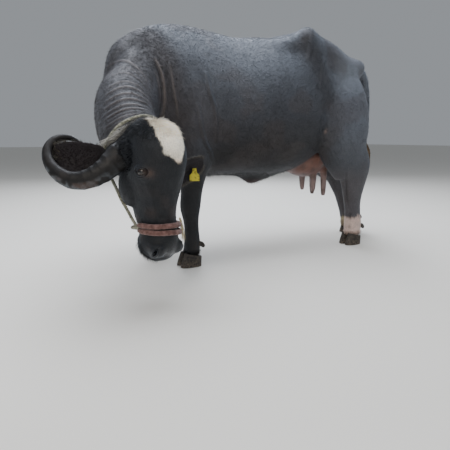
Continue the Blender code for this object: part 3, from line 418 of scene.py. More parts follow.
def ear_form(root, tip, facing, hang, breadth):
    """A leaf rolled round its axis: radius = width / (2 angle), the angle closing to a pipe at the root."""
    root, tip = from_head(root), from_head(tip)
    length = np.linalg.norm(tip - root)
    along = (tip - root) / length
    facing = np.asarray(facing, float) @ HEAD_AXES
    facing = unit(facing - (facing @ along) * along)
    across = np.cross(along, facing)
    s = np.linspace(0.0, 1.0, 44)[:, None]
    t = np.linspace(-1.0, 1.0, 31)[None]
    half_angle = np.radians(46.0 + 95.0 * np.exp(-(s / 0.16) ** 2))
    radius = (breadth * leaf(s) + 0.010) / (2.0 * half_angle)
    phi = t * half_angle
    cup = radius * (1.0 - np.cos(phi))
    sag = hang * np.sin(math.pi * s) + 0.0 * t
    middle = (root + s[..., None] * length * along + (radius * np.sin(phi))[..., None] * across
              + cup[..., None] * facing - sag[..., None] * np.array(UP))
    out = unit(np.cross(np.gradient(middle, axis=0), np.gradient(middle, axis=1)))
    thin = 0.5 * EAR_THICKNESS * (1.0 - 0.35 * np.abs(t) ** 3)[..., None] + 0.0 * s[..., None]
    rings = np.concatenate((middle + out * thin, (middle - out * thin)[:, ::-1]), axis=1)
    return skin_of(rings, middle[0].mean(0), middle[-1].mean(0))


def udder_forms():
    """The bag as three eggs, and four teats."""
    forms = [egg(*some) for some in UDDER_EGGS]
    for x, top, bottom in TEATS:
        for s in (-1, 1):
            forms.append(rod(((x - 0.002, s * 0.062, top, 0.036), (x, s * 0.064, top - 0.05, 0.028),
                              (x + 0.002, s * 0.064, bottom + 0.05, 0.0225),
                              (x + 0.003, s * 0.062, bottom + 0.012, 0.0175)), side=(1, 0, 0)))
    return forms


print("forms of the body defined")

# %% [markdown]
# ## One skin without a seam
#
# Flesh has no joins, so the forms are melted into one surface: a voxel remesh fuses them, and many
# small steps towards the neighbours' mean soften the places where they met. A coarse first pass
# softens the barrel, a fine second one takes in neck, legs, head, ears, udder and tail. When the skin
# is shaped, the head is divided once more, and again round the eyes, the nostrils and the mouth.

# %% Melt the forms together
BARREL_GRAIN = 0.016
SKIN_GRAIN = 0.0055
COAT_DEPTH = 0.0035          # the skin lies this deep under the coat's outline
SKIN_TRIANGLES = 194000
# how many times each part is softened
BARREL_PASSES, BODY_PASSES, HEAD_PASSES, FACE_PASSES, EAR_PASSES, TEAT_PASSES = 30, 66.0, 11.0, 5.0, 4.0, 6.0
BEHIND_HEAD = np.array((0.0, -0.978, 0.207))     # the head ends at a plane that looks this way
TAIL_START = 1.42                                # what lies behind this is the hanging tail


def relaxed(points, edges, passes):
    """p + 0.5 (mean of neighbours - p), repeated; passes may differ from point to point."""
    start = np.concatenate((edges[:, 0], edges[:, 1]))
    end = np.concatenate((edges[:, 1], edges[:, 0]))
    degree = np.maximum(np.bincount(start, minlength=len(points)), 1)
    passes = np.zeros(len(points)) + passes
    for step in range(int(np.ceil(passes.max()))):
        share = 0.5 * np.clip(passes - step, 0.0, 1.0)
        total = np.stack([np.bincount(start, points[end, k], len(points)) for k in range(3)], 1)
        points = points + share[:, None] * (total / degree[:, None] - points)
    return points


def melted(name, forms, grain):
    """The forms fused by a voxel remesh of the given grain."""
    points, faces = gathered(forms)
    mesh = mesh_of(name, points, faces)
    work = bmesh.new()
    work.from_mesh(mesh)
    bmesh.ops.recalc_face_normals(work, faces=work.faces[:])
    work.to_mesh(mesh)
    work.free()
    return with_modifier(name, mesh, "REMESH", mode="VOXEL", voxel_size=grain)


def smooth_step(low, high, value):
    """0 below low, 1 above high, and 3u^2 - 2u^3 between."""
    u = np.clip((value - low) / (high - low), 0.0, 1.0)
    return u * u * (3.0 - 2.0 * u)


def ears_of(local):
    """For each ear its root, the direction and length of its line to the tip, and the points on its side."""
    for ear, sign in (("right", 1), ("left", -1)):
        root, tip = np.array(EARS[ear][0]), np.array(EARS[ear][1])
        yield EARS[ear], root, unit(tip - root), np.linalg.norm(tip - root), local[:, 0] * sign > 0.0


def on_ear(points):
    """1 on the ears: close to the sheet from root to tip, and further out than the skull."""
    local, share = to_head(points), np.zeros(len(points))
    for (_, _, facing, _, breadth), root, axis, _, _ in ears_of(local):
        offset = local - root
        face = unit(np.array(facing) - np.dot(facing, axis) * axis)
        level = offset - np.outer(offset @ axis, axis)
        deep = level @ face
        wide = norms(level - np.outer(deep, face)) - breadth / 2
        share = np.maximum(share, smooth_step(0.055, 0.040, np.abs(deep)) * smooth_step(0.025, 0.010, wide))
    reach = norms(local) < 0.50
    return share * reach * smooth_step(0.128, 0.150, np.abs(local[:, 0]))


def in_head(points):
    """1 on the head and ears and 0 on the rest, with a soft edge behind the poll and the jaw."""
    local = to_head(points)
    top = smooth_step(-0.16, -0.04, local[:, 2])
    behind = local @ BEHIND_HEAD - 0.181 * 0.978 + 0.090 * top
    near = (np.abs(local[:, 0]) < 0.46) & (norms(local[:, 1:]) < 0.75)
    return np.maximum(smooth_step(0.03, -0.03, behind) * near, on_ear(points))


def in_neck(points):
    """1 in front of the plane where the neck leaves the shoulders, soft over 10 cm."""
    ahead = (points - (-0.245, -0.050, 1.0)) @ unit(np.array((-0.82, -0.57, 0.0)))
    return smooth_step(-0.10, 0.0, ahead) * smooth_step(0.40, 0.50, points[:, 2]) * (1.0 - in_head(points))


barrel = melted("barrel", trunk_forms(), BARREL_GRAIN)
barrel_points = relaxed(points_of(barrel), rows_of(barrel.edges, "vertices", 2), BARREL_PASSES)
forms = [(barrel_points, [triangles_of(barrel)]), neck_form()]
forms += [leg_form(FORELEG, -1, 0.0), leg_form(FORELEG, 1, FAR_FORE_STEP)]
forms += [leg_form(HINDLEG, -1, 0.0), leg_form(HINDLEG, 1, FAR_HIND_STEP)]
forms += head_forms() + [ear_form(*EARS["right"]), ear_form(*EARS["left"])] + udder_forms()
forms.append(rod(TAIL, 40))
skin_mesh = melted("skin", forms, SKIN_GRAIN)
points = points_of(skin_mesh)
headness = in_head(points)
teats = (points[:, 2] < 0.52) & (np.abs(points[:, 0] - 1.02) < 0.10) & (np.abs(points[:, 1]) < 0.10)
passes = BODY_PASSES * (1.0 - headness) + HEAD_PASSES * headness
passes = passes * (1.0 - on_ear(points)) + EAR_PASSES * on_ear(points)
passes = np.where(teats | (points[:, 0] > TAIL_START - 0.02), TEAT_PASSES, passes)
points = relaxed(points, rows_of(skin_mesh.edges, "vertices", 2), passes)
move_points(skin_mesh, points)
print("skin:", len(points), "points")

# %% [markdown]
# ## Folds placed one by one
#
# A fold's place is easiest to give as it is seen, in pixels of the picture, but it has to sit on the
# body. So a ray is sent from the camera through each pixel and the fold takes the point where the ray
# meets the skin. From there on it is a line in space, and looks right from every side.

# %% The camera and its rays
PICTURE = 450                # side of the square picture in pixels
FOCAL = 451.0                # focal length in pixels
HORIZON = 138.0              # height of the horizon in the picture
CAMERA = Vector((-1.03441, -2.60343, 0.75801))
YAW = math.radians(27.28085)
PITCH = math.atan((PICTURE / 2 - HORIZON) / FOCAL)
CAMERA_RIGHT = Vector((math.cos(YAW), -math.sin(YAW), 0.0))
LEVEL_AHEAD = Vector((math.sin(YAW), math.cos(YAW), 0.0))
AHEAD = LEVEL_AHEAD * math.cos(PITCH) - UP * math.sin(PITCH)
CAMERA_UP = CAMERA_RIGHT.cross(AHEAD)


def tree_of(mesh):
    """A search tree over the mesh's triangles."""
    return BVHTree.FromPolygons(points_of(mesh).tolist(), triangles_of(mesh).tolist())


def seen_at(pixel, tree):
    """Where the ray through a pixel meets the mesh, or None where it misses."""
    x, y = pixel
    ray = AHEAD + CAMERA_RIGHT * ((x - PICTURE / 2) / FOCAL) - CAMERA_UP * ((y - PICTURE / 2) / FOCAL)
    return tree.ray_cast(CAMERA, ray.normalized())[0]


def cast(pixels, tree):
    """Points where the rays through the pixels meet the skin; rays that miss are left out."""
    found = [seen_at(pixel, tree) for pixel in pixels]
    return np.array([hit for hit in found if hit is not None])


def on_skin(pixels, tree, count=14):
    """Points where the rays through a smooth line of pixels meet the skin, as far as it is unbroken."""
    runs = [[]]
    for pixel in through(pixels, count):
        hit = seen_at(pixel, tree)
        if hit is None or (runs[-1] and (hit - runs[-1][-1]).length > 0.15):
            runs.append([])
        if hit is not None:
            runs[-1].append(hit)
    return np.array(max(runs, key=len))


def distance_to(points, line):
    """Distance to a polyline, and how far along it (0 to 1) the nearest place is."""
    best = np.full(len(points), 9.0)
    along = np.zeros(len(points))
    for k, (a, b) in enumerate(zip(line[:-1], line[1:])):
        u = np.clip((points - a) @ (b - a) / max((b - a) @ (b - a), 1e-12), 0.0, 1.0)
        gap = norms(points - a - u[:, None] * (b - a))
        along = np.where(gap < best, (k + u) / (len(line) - 1), along)
        best = np.minimum(best, gap)
    return best, along


def welt(points, line, width, height):
    """height exp(-(d/w)^2) less 0.45 of the same twice as wide, fading out to both ends of the line."""
    near = np.abs(points - line.mean(0)).max(1) < np.ptp(line, axis=0).max() + 5 * width
    rise = np.zeros(len(points))
    gap, along = distance_to(points[near], line)
    fade = np.sqrt(np.clip(np.sin(math.pi * (0.04 + 0.92 * along)), 0.0, 1.0))
    rise[near] = height * fade * (np.exp(-(gap / width) ** 2) - 0.45 * np.exp(-(gap / (2.1 * width)) ** 2))
    return rise


smooth_tree = tree_of(skin_mesh)
print("camera pitched down by", round(math.degrees(PITCH), 2), "degrees")

# %% Folds of the neck, shoulder and legs
FIRST_NECK_FOLD = ((107, 66), (114, 62), (124, 60), (133, 63.5), (141, 71), (147, 81), (150.5, 92))
LAST_NECK_FOLD = ((102, 133), (111, 126.5), (120, 121), (129, 117.5), (138, 116), (147, 116), (154, 118))
NECK_FOLD_PLACES = (0.0, 0.11, 0.20, 0.34, 0.43, 0.54, 0.64, 0.74, 0.82, 0.88, 0.94, 1.0)
NECK_FOLD_WIDTH = (0.0070, 0.003)      # the least, and how much chance may add
NECK_FOLD_HEIGHT = (0.0045, 0.0035)
# pixels, width and height of the welts on the shoulder, the side and the thigh, and of a groove on the hock
SIDE_FOLDS = (
    (((155, 58), (159.4, 66.6), (162.7, 76.4), (164.3, 87.2), (164.8, 98), (163.8, 110), (160.5, 117.6)),
     0.011, 0.014),
    (((156, 70), (158.3, 78.6), (160.2, 89.4), (160.2, 100.3), (158.3, 109)), 0.009, 0.008),
    (((170.5, 64), (172.5, 78), (174.5, 92), (177, 106), (178, 118)), 0.010, 0.007),
    (((206, 72), (207.7, 77.5), (210.4, 90.5), (214.2, 104.6), (216.4, 117.6), (216.6, 131.7), (215.8, 141)),
     0.010, 0.011),
    (((198, 104), (200.6, 117.6), (202.8, 131.7), (206, 142.6), (210.4, 151.2), (213, 160)), 0.010, 0.009),
    (((323.3, 58), (323.3, 66), (322.5, 77), (321, 90)), 0.014, 0.008),
    (((310.5, 24.5), (311.5, 34), (311, 46), (309, 58)), 0.016, 0.010),
    (((346, 174), (346.4, 186), (347.3, 199), (349, 209)), 0.010, -0.009),
)
# the neck's folds are arcs between the first and the last one, closer together towards the head
first, last = np.array(FIRST_NECK_FOLD), np.array(LAST_NECK_FOLD)
fold_lines = [on_skin(first + (last - first) * place, smooth_tree) for place in NECK_FOLD_PLACES]
side_lines = [(on_skin(pixels, smooth_tree), width, height) for pixels, width, height in SIDE_FOLDS]
print("folds found:", [len(line) for line in fold_lines], [len(s[0]) for s in side_lines])


def body_relief(points):
    """Heights of the folds of the neck, shoulder and thigh; those behind the neck also on her right."""
    rise = np.zeros(len(points))
    draw = np.random.default_rng(4)
    for line in fold_lines:
        width, height = (a + b * draw.random() for a, b in (NECK_FOLD_WIDTH, NECK_FOLD_HEIGHT))
        rise += welt(points, line, width, height)
    for line, width, height in side_lines:
        rise += welt(points, line, width, height)
        rise += welt(points * (1, -1, 1), line, width, height) * smooth_step(-0.20, -0.05, points[:, 0])
    return rise


# %% [markdown]
# ## The face
#
# The lids are skin that lies on the eyeball: around the almond opening the surface is lifted to a
# sphere a little larger than the eye, and inside the opening it is drawn back behind it. Rings of
# fine folds surround the eye. Nostrils are dents with a raised wing, and the mouth is a groove
# between two lips.

# %% Relief of the face
EYE_OPENING = (0.0205, 0.0125)    # half length and half height of the gap between the lids
LID = 0.0030                      # the lids' thickness over the eyeball
LID_SKIRT = 0.085                 # the skin round the lids falls away as distance^2 / this
LID_SLANT = 0.10                  # how much the opening climbs from its outer to its inner corner
# creases round the eye: place as a multiple of the opening, width, depth above and below
LID_CREASES = ((1.62, 0.14, 0.0026, 0.0016), (2.10, 0.16, 0.0012, 0.0013), (2.65, 0.20, 0.0010, 0.0010))
LOOK = unit(np.array((0.94, 0.34, 0.0)))
NOSTRIL = np.array((0.070, 0.060, -0.558))
NOSTRIL_DEPTH, NOSTRIL_RIM = 0.024, 0.0032
MOUTH = (
    (-0.070, -0.075, -0.520), (-0.082, -0.040, -0.556), (-0.058, 0.020, -0.596), (0.0, 0.052, -0.612),
    (0.058, 0.020, -0.596), (0.082, -0.040, -0.556), (0.070, -0.075, -0.520),
)
MOUTH_LINE = through(MOUTH, 40)
MOUTH_REACH, EYE_REACH, NOSTRIL_REACH = 0.018, 0.062, 0.040     # where the skin is divided twice
# line in the head's frame, width and height, on both sides of the face
FACE_LINES = (
    (((0.100, 0.050, -0.262), (0.088, 0.062, -0.330), (0.074, 0.060, -0.420)), 0.016, 0.0050),
    (((0.052, 0.120, -0.240), (0.046, 0.108, -0.330), (0.040, 0.098, -0.430)), 0.015, 0.0040),
    (((0.105, -0.060, -0.330), (0.088, -0.075, -0.400), (0.074, -0.070, -0.455)), 0.014, 0.0040),
    (((0.112, 0.020, -0.165), (0.098, 0.075, -0.175), (0.090, 0.090, -0.215)), 0.012, 0.0035),
    (((0.086, 0.030, -0.520), (0.075, 0.070, -0.527), (0.052, 0.096, -0.530)), 0.006, 0.0022),
    (((0.088, 0.015, -0.534), (0.080, 0.062, -0.541), (0.070, 0.085, -0.544)), 0.005, 0.0018),
    (((0.125, -0.020, -0.150), (0.128, -0.045, -0.215), (0.118, -0.060, -0.280)), 0.010, -0.0050),
)
MOUTH_WIDTH, MOUTH_DEPTH = 0.0042, 0.0085
LIP, LIP_WIDTH, LIP_HEIGHT = 0.012, 0.009, 0.0035     # place beside the mouth's line, width and height


def eye_axes(side):
    """The eye's centre and its directions: backwards along the lids, up, and out."""
    out = LOOK * (side, 1.0, 1.0)
    level = np.cross(out, UP) * side
    return EYE * (side, 1.0, 1.0), level, np.array(UP), out


def lids(local, side):
    """Moves the points of the head's frame round one eye on to the lids or behind the eyeball."""
    centre, level, upward, out = eye_axes(side)
    offset = local - centre
    a, b, c = offset @ level, offset @ upward, offset @ out
    b = b + LID_SLANT * a
    reach = np.sqrt((a / EYE_OPENING[0]) ** 2 + ((b + 0.0012) / EYE_OPENING[1]) ** 2)
    front = (c > 0.0) & (np.abs(a) < 0.09) & (np.abs(b) < 0.07)
    rise = EYE_RADIUS + LID
    sphere = np.sqrt(np.clip(rise ** 2 - a ** 2 - b ** 2, 0.0, None))
    skirt = np.maximum(c, rise - (a ** 2 + b ** 2) / LID_SKIRT)
    close = smooth_step(1.9, 1.15, reach)
    lid_c = sphere * close + skirt * (1.0 - close)
    for middle, width, deep_above, deep_below in LID_CREASES:
        deep = np.where(b > 0.0, deep_above, deep_below)
        lid_c = lid_c - deep * np.exp(-((reach - middle) / width) ** 2) * smooth_step(0.0, 0.006, np.abs(b))
    inside = smooth_step(1.04, 0.92, reach)
    lid_c = lid_c + (0.004 - lid_c) * inside
    return local + np.where(front, lid_c - c, 0.0)[:, None] * out


def nostril_dent(local, side):
    """A comma-shaped dent, deepest where e < 0.35, and round it a rim exp(-((e - 1.45) / 0.40)^2)."""
    offset = local - NOSTRIL * (side, 1.0, 1.0)
    across, down = offset[:, 0] * side * 0.66 - offset[:, 1] * 0.75, -offset[:, 2]
    across = across - 14.0 * down ** 2 * np.sign(down) - 0.25 * down
    e = np.sqrt((across / 0.0095) ** 2 + (down / 0.021) ** 2)
    near = norms(offset) < 0.060
    rim = NOSTRIL_RIM * np.exp(-((e - 1.45) / 0.40) ** 2)
    return near * (rim - NOSTRIL_DEPTH * smooth_step(1.15, 0.35, e))


def face_relief(local):
    """Bones and creases of the face, the nostrils and the line of the mouth."""
    rise = np.zeros(len(local))
    for line, width, height in FACE_LINES:
        for side in (-1, 1):
            rise += welt(local, np.array(line) * (side, 1, 1), width, height)
    gap, _ = distance_to(local, MOUTH_LINE)
    lips = LIP_HEIGHT * np.exp(-((gap - LIP) / LIP_WIDTH) ** 2)
    rise += lips - MOUTH_DEPTH * np.exp(-(gap / MOUTH_WIDTH) ** 2)
    return rise + nostril_dent(local, 1) + nostril_dent(local, -1)


print("face lines:", len(FACE_LINES))

# %% Shape the skin
def divided(mesh, chosen):
    """Every face whose corners are all chosen cut into four."""
    work = bmesh.new()
    work.from_mesh(mesh)
    work.verts.ensure_lookup_table()
    edges = [e for e in work.edges if chosen[e.verts[0].index] and chosen[e.verts[1].index]]
    bmesh.ops.subdivide_edges(work, edges=edges, cuts=1, use_grid_fill=True)
    work.to_mesh(mesh)
    work.free()
    return mesh


def front_of_head(points):
    """True on the head in front of the ears."""
    local = to_head(points)
    return (in_head(points) > 0.5) & (np.abs(local[:, 0]) < 0.140) & (local[:, 1] > -0.11)


def round_openings(points):
    """True within a few centimetres of an eye, a nostril or the mouth."""
    local = to_head(points)
    near = distance_to(local, MOUTH_LINE)[0] < MOUTH_REACH
    for side in (-1, 1):
        near |= norms(local - EYE * (side, 1, 1)) < EYE_REACH
        near |= norms(local - NOSTRIL * (side, 1, 1)) < NOSTRIL_REACH
    return near


for where in (front_of_head, round_openings):
    skin_mesh = divided(skin_mesh, where(points_of(skin_mesh)))
points = points_of(skin_mesh)
passes = FACE_PASSES * in_head(points) * (1.0 - on_ear(points))
points = relaxed(points, rows_of(skin_mesh.edges, "vertices", 2), passes)
move_points(skin_mesh, points)
normals = points_of(skin_mesh, "normal")
headness = in_head(points)
thin = np.maximum(on_ear(points), (points[:, 0] > TAIL_START) * 1.0)
depth = COAT_DEPTH * (1.0 - 0.8 * thin)
on_head = headness > 0.01
rise = body_relief(points) * (1.0 - 0.6 * headness) - depth
rise[on_head] += face_relief(to_head(points[on_head])) * (1.0 - on_ear(points[on_head]))
points = points + rise[:, None] * normals
local = to_head(points[on_head])
for side in (-1, 1):
    local = lids(local, side)
points[on_head] = from_head(local)
move_points(skin_mesh, points)
rise[on_head] *= 1.0 - on_ear(points[on_head])
give(skin_mesh, "rise", rise + depth)
ratio = SKIN_TRIANGLES / len(triangles_of(skin_mesh))
skin_mesh = with_modifier("skin", skin_mesh, "DECIMATE", ratio=ratio)
print("skin:", len(skin_mesh.vertices), "points,", len(triangles_of(skin_mesh)), "triangles")

# %% [markdown]
# ## Colour of the hide, with painted light and shade
#
# A buffalo's colour is in its skin and hair alike. So one set of rules gives each place of the skin a
# colour, and both the skin and the hairs that are rooted there take it: slate, with painted light over
# the back and hindquarters, nearly black on the head, painted shade low down and between the folds, a
# cream blaze, pale hind socks, a bare brownish udder.

# %% Colours and noise


def linear(code):
    """sRGB hex to linear light: c / 12.92 below 0.04045, else ((c + 0.055) / 1.055) ^ 2.4."""
    c = np.array([int(code[i:i + 2], 16) for i in (1, 3, 5)]) / 255.0
    return np.where(c < 0.04045, c / 12.92, ((c + 0.055) / 1.055) ** 2.4)


def painted(tone, code, share):
    """tone + (colour - tone) share."""
    return tone + (linear(code) - tone) * np.clip(share, 0.0, 1.0)[:, None]


def layered(count, first, layers):
    """The first colour on so many points, under layers of other colours and their shares."""
    tone = np.tile(linear(first), (count, 1))
    for code, share in layers:
        tone = painted(tone, code, share)
    return tone


def noise(points, size, seed):
    """Smooth noise from 0 to 1: hashed values at the corners of cubes, blended by 3u^2 - 2u^3."""
    where = np.asarray(points, float) / size + 100.0
    cell = np.floor(where).astype(np.int64)
    u = where - cell
    u = u * u * (3.0 - 2.0 * u)
    total = np.zeros(len(where))
    for corner in range(8):
        step = np.array((corner & 1, corner >> 1 & 1, corner >> 2 & 1))
        number = (cell + step) @ np.array((73856093, 19349663, 83492791)) + seed * 7919
        number = (number ^ (number >> 13)) * 1274126177 & 0x7FFFFFFF
        value = ((number ^ (number >> 15)) & 0xFFFF) / 65535.0
        total += value * np.prod(np.where(step == 1, u, 1.0 - u), axis=1)
    return total


def bump_at(points, centre, radius):
    """exp(-(d/r)^2) round a point."""
    return np.exp(-((points - centre) ** 2).sum(1) / radius ** 2)


print("noise runs from", noise(points, 0.1, 1).min().round(2), "to", noise(points, 0.1, 1).max().round(2))

# %% Markings of the hide
# outline of the blaze, a small scar, a dark notch and a spot of the near sock, in pixels of the picture
BLAZE = (
    (149.5, 120.5), (152.5, 124.5), (155.6, 129.5), (158.8, 137.2), (162.7, 144.8), (165.2, 153.8),
    (171.6, 157.0), (178.0, 162.0), (181.8, 161.4), (184.0, 153.8), (184.6, 146.1), (182.6, 137.2),
    (176.5, 128.3), (168.5, 122.0), (157.5, 119.5), (149.5, 120.5),
)
SCAR, SOCK_NOTCH, SOCK_SPOT = (325.7, 131.5), (350.3, 216.0), (349.2, 227.0)
# height and colour of the white on the left (-1) and the right (1) hind foot
SOCKS = {-1: (0.205, "#c9b2a8"), 1: (0.135, "#9a8d70")}
MUD_TOP = 0.085
UDDER_MIDDLE = np.array((0.955, 0.0, 0.585))
UDDER_REACH = np.array((0.25, 0.150, 0.155))
MUZZLE = np.array((0.0, 0.078, -0.572))
INNER_CORNER = EYE + np.array((0.004, 0.040, -0.006))


def inside_by(points, outline):
    """Distance to a flat outline, positive inside: even-odd rule over its edges."""
    gap, _ = distance_to(points, outline)
    inside = np.zeros(len(points), bool)
    for (x0, y0), (x1, y1) in zip(outline[:-1], outline[1:]):
        if y0 != y1:
            crosses = (points[:, 1] > y0) != (points[:, 1] > y1)
            inside ^= crosses & (points[:, 0] < x0 + (points[:, 1] - y0) * (x1 - x0) / (y1 - y0))
    return np.where(inside, gap, -gap)


blaze_edge = to_head(cast(through(BLAZE, 70), smooth_tree))[:, (0, 2)]
blaze_edge = np.vstack((blaze_edge, blaze_edge[:1]))
scar_place, sock_notch, sock_spot = cast([SCAR, SOCK_NOTCH, SOCK_SPOT], smooth_tree)


def on_udder(points):
    """1 on the bag and the teats."""
    far = norms((points - UDDER_MIDDLE) / UDDER_REACH)
    low = (points[:, 2] < 0.54) & (np.abs(points[:, 0] - 1.02) < 0.12) & (np.abs(points[:, 1]) < 0.095)
    return np.maximum(smooth_step(1.10, 0.92, far), low * 1.0)


def ear_hollows(points, normals):
    """For each ear, 1 on its hollow face."""
    for ear, _, _, _, here in ears_of(to_head(points)):
        facing = unit(ear[2]) @ HEAD_AXES
        yield on_ear(points) * here * smooth_step(0.1, 0.45, normals @ facing)


def front_layers(points, normals, rise, patch):
    """Colours and shares of trunk, neck and head, from the ground colours to the muzzle and the dust; several
    are painted light and shade.
    """
    x, z, upward = points[:, 0], points[:, 2], normals[:, 2]
    local, head, neck = to_head(points), in_head(points), in_neck(points)
    low_front_shade = smooth_step(0.62, 0.50, z) * smooth_step(0.8, 0.6, x)
    brown_face = smooth_step(0.45, 0.75, noise(points, 0.05, 9)) * smooth_step(-0.24, -0.42, local[:, 2])
    muzzle = smooth_step(0.075, 0.055, norms(local - MUZZLE))
    dust = smooth_step(0.22, 0.05, z) * smooth_step(0.3, 0.7, noise(points, 0.06, 4))
    return [
        # painted light: upward-facing hide paler blue-grey, a painted sheen of the sky over the back
        ("#565c65", smooth_step(-0.10, 0.75, upward + 0.30 * (patch - 0.5))),
        # painted shade: downward-facing hide under the body nearly black
        ("#100d0e", 0.95 * smooth_step(0.05, -0.55, upward) * smooth_step(1.15, 0.85, z)),
        # painted light: the hindquarters paler, and the croup palest
        ("#5b6069", 0.9 * smooth_step(0.85, 1.10, x) * smooth_step(0.30, 0.95, z)),
        ("#79808a", 0.6 * smooth_step(0.90, 1.05, x) * smooth_step(0.98, 1.15, z)),
        # painted shade: the forelegs and the low front of the chest nearly black
        ("#141416", 0.95 * low_front_shade),
        ("#4b484b", 0.8 * smooth_step(0.60, 0.45, z) * smooth_step(0.8, 0.9, x)),
        ("#3b3331", 0.35 * smooth_step(0.56, 0.75, patch) * (1.0 - low_front_shade)),
        ("#332f30", 0.75 * neck),
        # painted highlight: paler brown on the crests of the neck's folds
        ("#554d49", 0.7 * neck * smooth_step(-0.0005, 0.0050, rise)),
        ("#12151a", 0.94 * head),
        ("#352c2a", 0.6 * head * brown_face),
        ("#4a3a33", 0.85 * bump_at(local * (1, 1, 1.2), INNER_CORNER * (1, 1, 1.2), 0.022)),
        ("#4a3a33", 0.85 * bump_at(local, INNER_CORNER * (-1, 1, 1), 0.022)),
        ("#15171a", 0.9 * head * muzzle),
        ("#4a403a", 0.35 * dust),
    ]


def hind_layers(points, normals, ragged):
    """Colours and shares of the socks, the udder, the navel, three small marks and the ears' hollows."""
    x, y, z = points.T
    layers = []
    for side, (top, white) in SOCKS.items():
        foot = smooth_step(1.05, 1.12, x) * (y * side > 0.0)
        edge = smooth_step(-0.006, 0.006, top + 0.030 * ragged + 0.02 * (noise(points, 0.05, 7) - 0.5) - z)
        mud = smooth_step(0.02, -0.015, z - MUD_TOP - 0.02 * ragged)
        layers += [(white, foot * edge * 0.95), ("#6d5d4c", foot * mud * 0.8)]
    udder = on_udder(points)
    navel = smooth_step(0.40, 0.44, x) * smooth_step(0.66, 0.60, x) * smooth_step(0.505, 0.465, z)
    layers += [
        ("#6a4a40", udder * 0.95),
        ("#7d6b68", udder * smooth_step(0.55, 0.47, z)),
        ("#4b3b35", udder * 0.7 * smooth_step(0.50, 0.8, noise(points, 0.022, 8))),
        ("#3d2a26", navel * (np.abs(y) < 0.10)),
        ("#8a7468", 0.8 * bump_at(points, scar_place, 0.009)),
        ("#2a2528", 0.9 * bump_at(points * (1, 1, 0.5), sock_notch * (1, 1, 0.5), 0.013)),
        ("#4a4048", 0.7 * bump_at(points, sock_spot, 0.010)),
    ]
    return layers + [("#272124", 0.9 * hollow) for hollow in ear_hollows(points, normals)]


def hide_tone_and_light(points, normals, rise):
    """The colour at places of the hide in linear light, with painted light and shade, and painted shade in
    the troughs between the folds.
    """
    local, head = to_head(points), in_head(points)
    ragged = noise(points, 0.012, 3) - 0.5 + 0.6 * (noise(points, 0.004, 5) - 0.5)
    patch = noise(points + 0.12 * (noise(points, 0.08, 21) - 0.5)[:, None], 0.16, 1)
    front = (local[:, 1] > -0.01) & (head > 0.4) & (local[:, 2] > -0.35)
    inside = inside_by(local[front][:, (0, 2)], blaze_edge)
    white = np.zeros(len(points))
    white[front] = smooth_step(-0.0035, 0.0035, inside + 0.009 * ragged[front])
    tip = smooth_step(-0.155, -0.185, local[:, 2])
    layers = front_layers(points, normals, rise, patch) + hind_layers(points, normals, ragged)
    layers += [("#efe8d8", white * 0.97), ("#d6b79c", white * tip * 0.8)]
    # painted shade: up to 40 % darker in the troughs between the folds
    dark = 1.0 - 0.40 * smooth_step(-0.0005, -0.005, rise) * (1.0 - white)
    tone = layered(len(points), "#36383e", layers)
    return tone * (dark * (0.88 + 0.24 * noise(points, 0.03, 2)))[:, None]


def wetness(points):
    """1 on the moist pad between the nostrils, less in them and at the eye's inner corner."""
    local = to_head(points)
    wet = bump_at(local * (0.8, 1.0, 1.0), MUZZLE * (0.8, 1.0, 1.0), 0.036)
    for side in (1, -1):
        wet = np.maximum(wet, 0.8 * bump_at(local, NOSTRIL * (side, 1, 1), 0.022))
        wet = np.maximum(wet, 0.9 * bump_at(local, EYE * (side, 1, 1) + (0.014 * side, 0.012, 0.0), 0.018))
    return np.clip(wet * 1.2, 0.0, 1.0)


skin_points, skin_normals = points_of(skin_mesh), points_of(skin_mesh, "normal")
skin_rise = rows_of(skin_mesh.attributes["rise"].data, "value", 1, np.float32)[:, 0]
skin_tone_and_light = hide_tone_and_light(skin_points, skin_normals, skin_rise)
give(skin_mesh, "tone", skin_tone_and_light)
give(skin_mesh, "wet", wetness(skin_points))
print("relief kept through the thinning:", skin_rise.min().round(4), "to", skin_rise.max().round(4))

# %% [markdown]
# ## Materials
#
# Every material is a few nodes on one shader: a colour from the hide's own attribute or from noise at
# real sizes, a roughness, and a bump in metres. One small function adds a node with its settings and
# links, and another feeds the shader, which keeps each recipe readable.

# %% Helpers for materials


def node(tree, kind, inputs=None, **settings):
    """Adds a shader node, sets it and its sockets, and links the inputs that are given as sockets."""
    made = tree.nodes.new("ShaderNode" + kind)
    for key, value in settings.items():
        setattr(made, key, value)
    for key, value in (inputs or {}).items():
        if isinstance(value, bpy.types.NodeSocket):
            tree.links.new(value, made.inputs[key])
        else:
            made.inputs[key].default_value = value
    return made


def new_material(name, **values):
    """A material, its node tree and its shader with the given socket values (_ stands for a space)."""
    material = bpy.data.materials.new(name)
    material.use_nodes = True
    tree = material.node_tree
    shader = tree.nodes["Principled BSDF"]
    for key, value in values.items():
        shader.inputs[key.replace("_", " ")].default_value = value
    return material, tree, shader


def place_of(tree):
    """Object coordinates, which are metres here."""
    return node(tree, "TexCoord").outputs["Object"]


def grain(tree, where, size, detail=3.0):
    """Noise whose lumps are about that many metres across."""
    return node(tree, "TexNoise", {"Vector": where, "Scale": 1.0 / size, "Detail": detail}).outputs["Fac"]


def fitted(tree, value, low, high, new_low, new_high):
    """Maps a value from one range to another and clamps it."""
    return node(tree, "MapRange", {"Value": value, "From Min": low, "From Max": high, "To Min": new_low,
                                   "To Max": new_high}).outputs["Result"]


def raised(tree, height, depth, before=None):
    """A bump of that depth in metres on top of another one."""
    inputs = {"Height": height, "Distance": depth, "Strength": 1.0}
    if before is not None:
        inputs["Normal"] = before
    return node(tree, "Bump", inputs).outputs["Normal"]


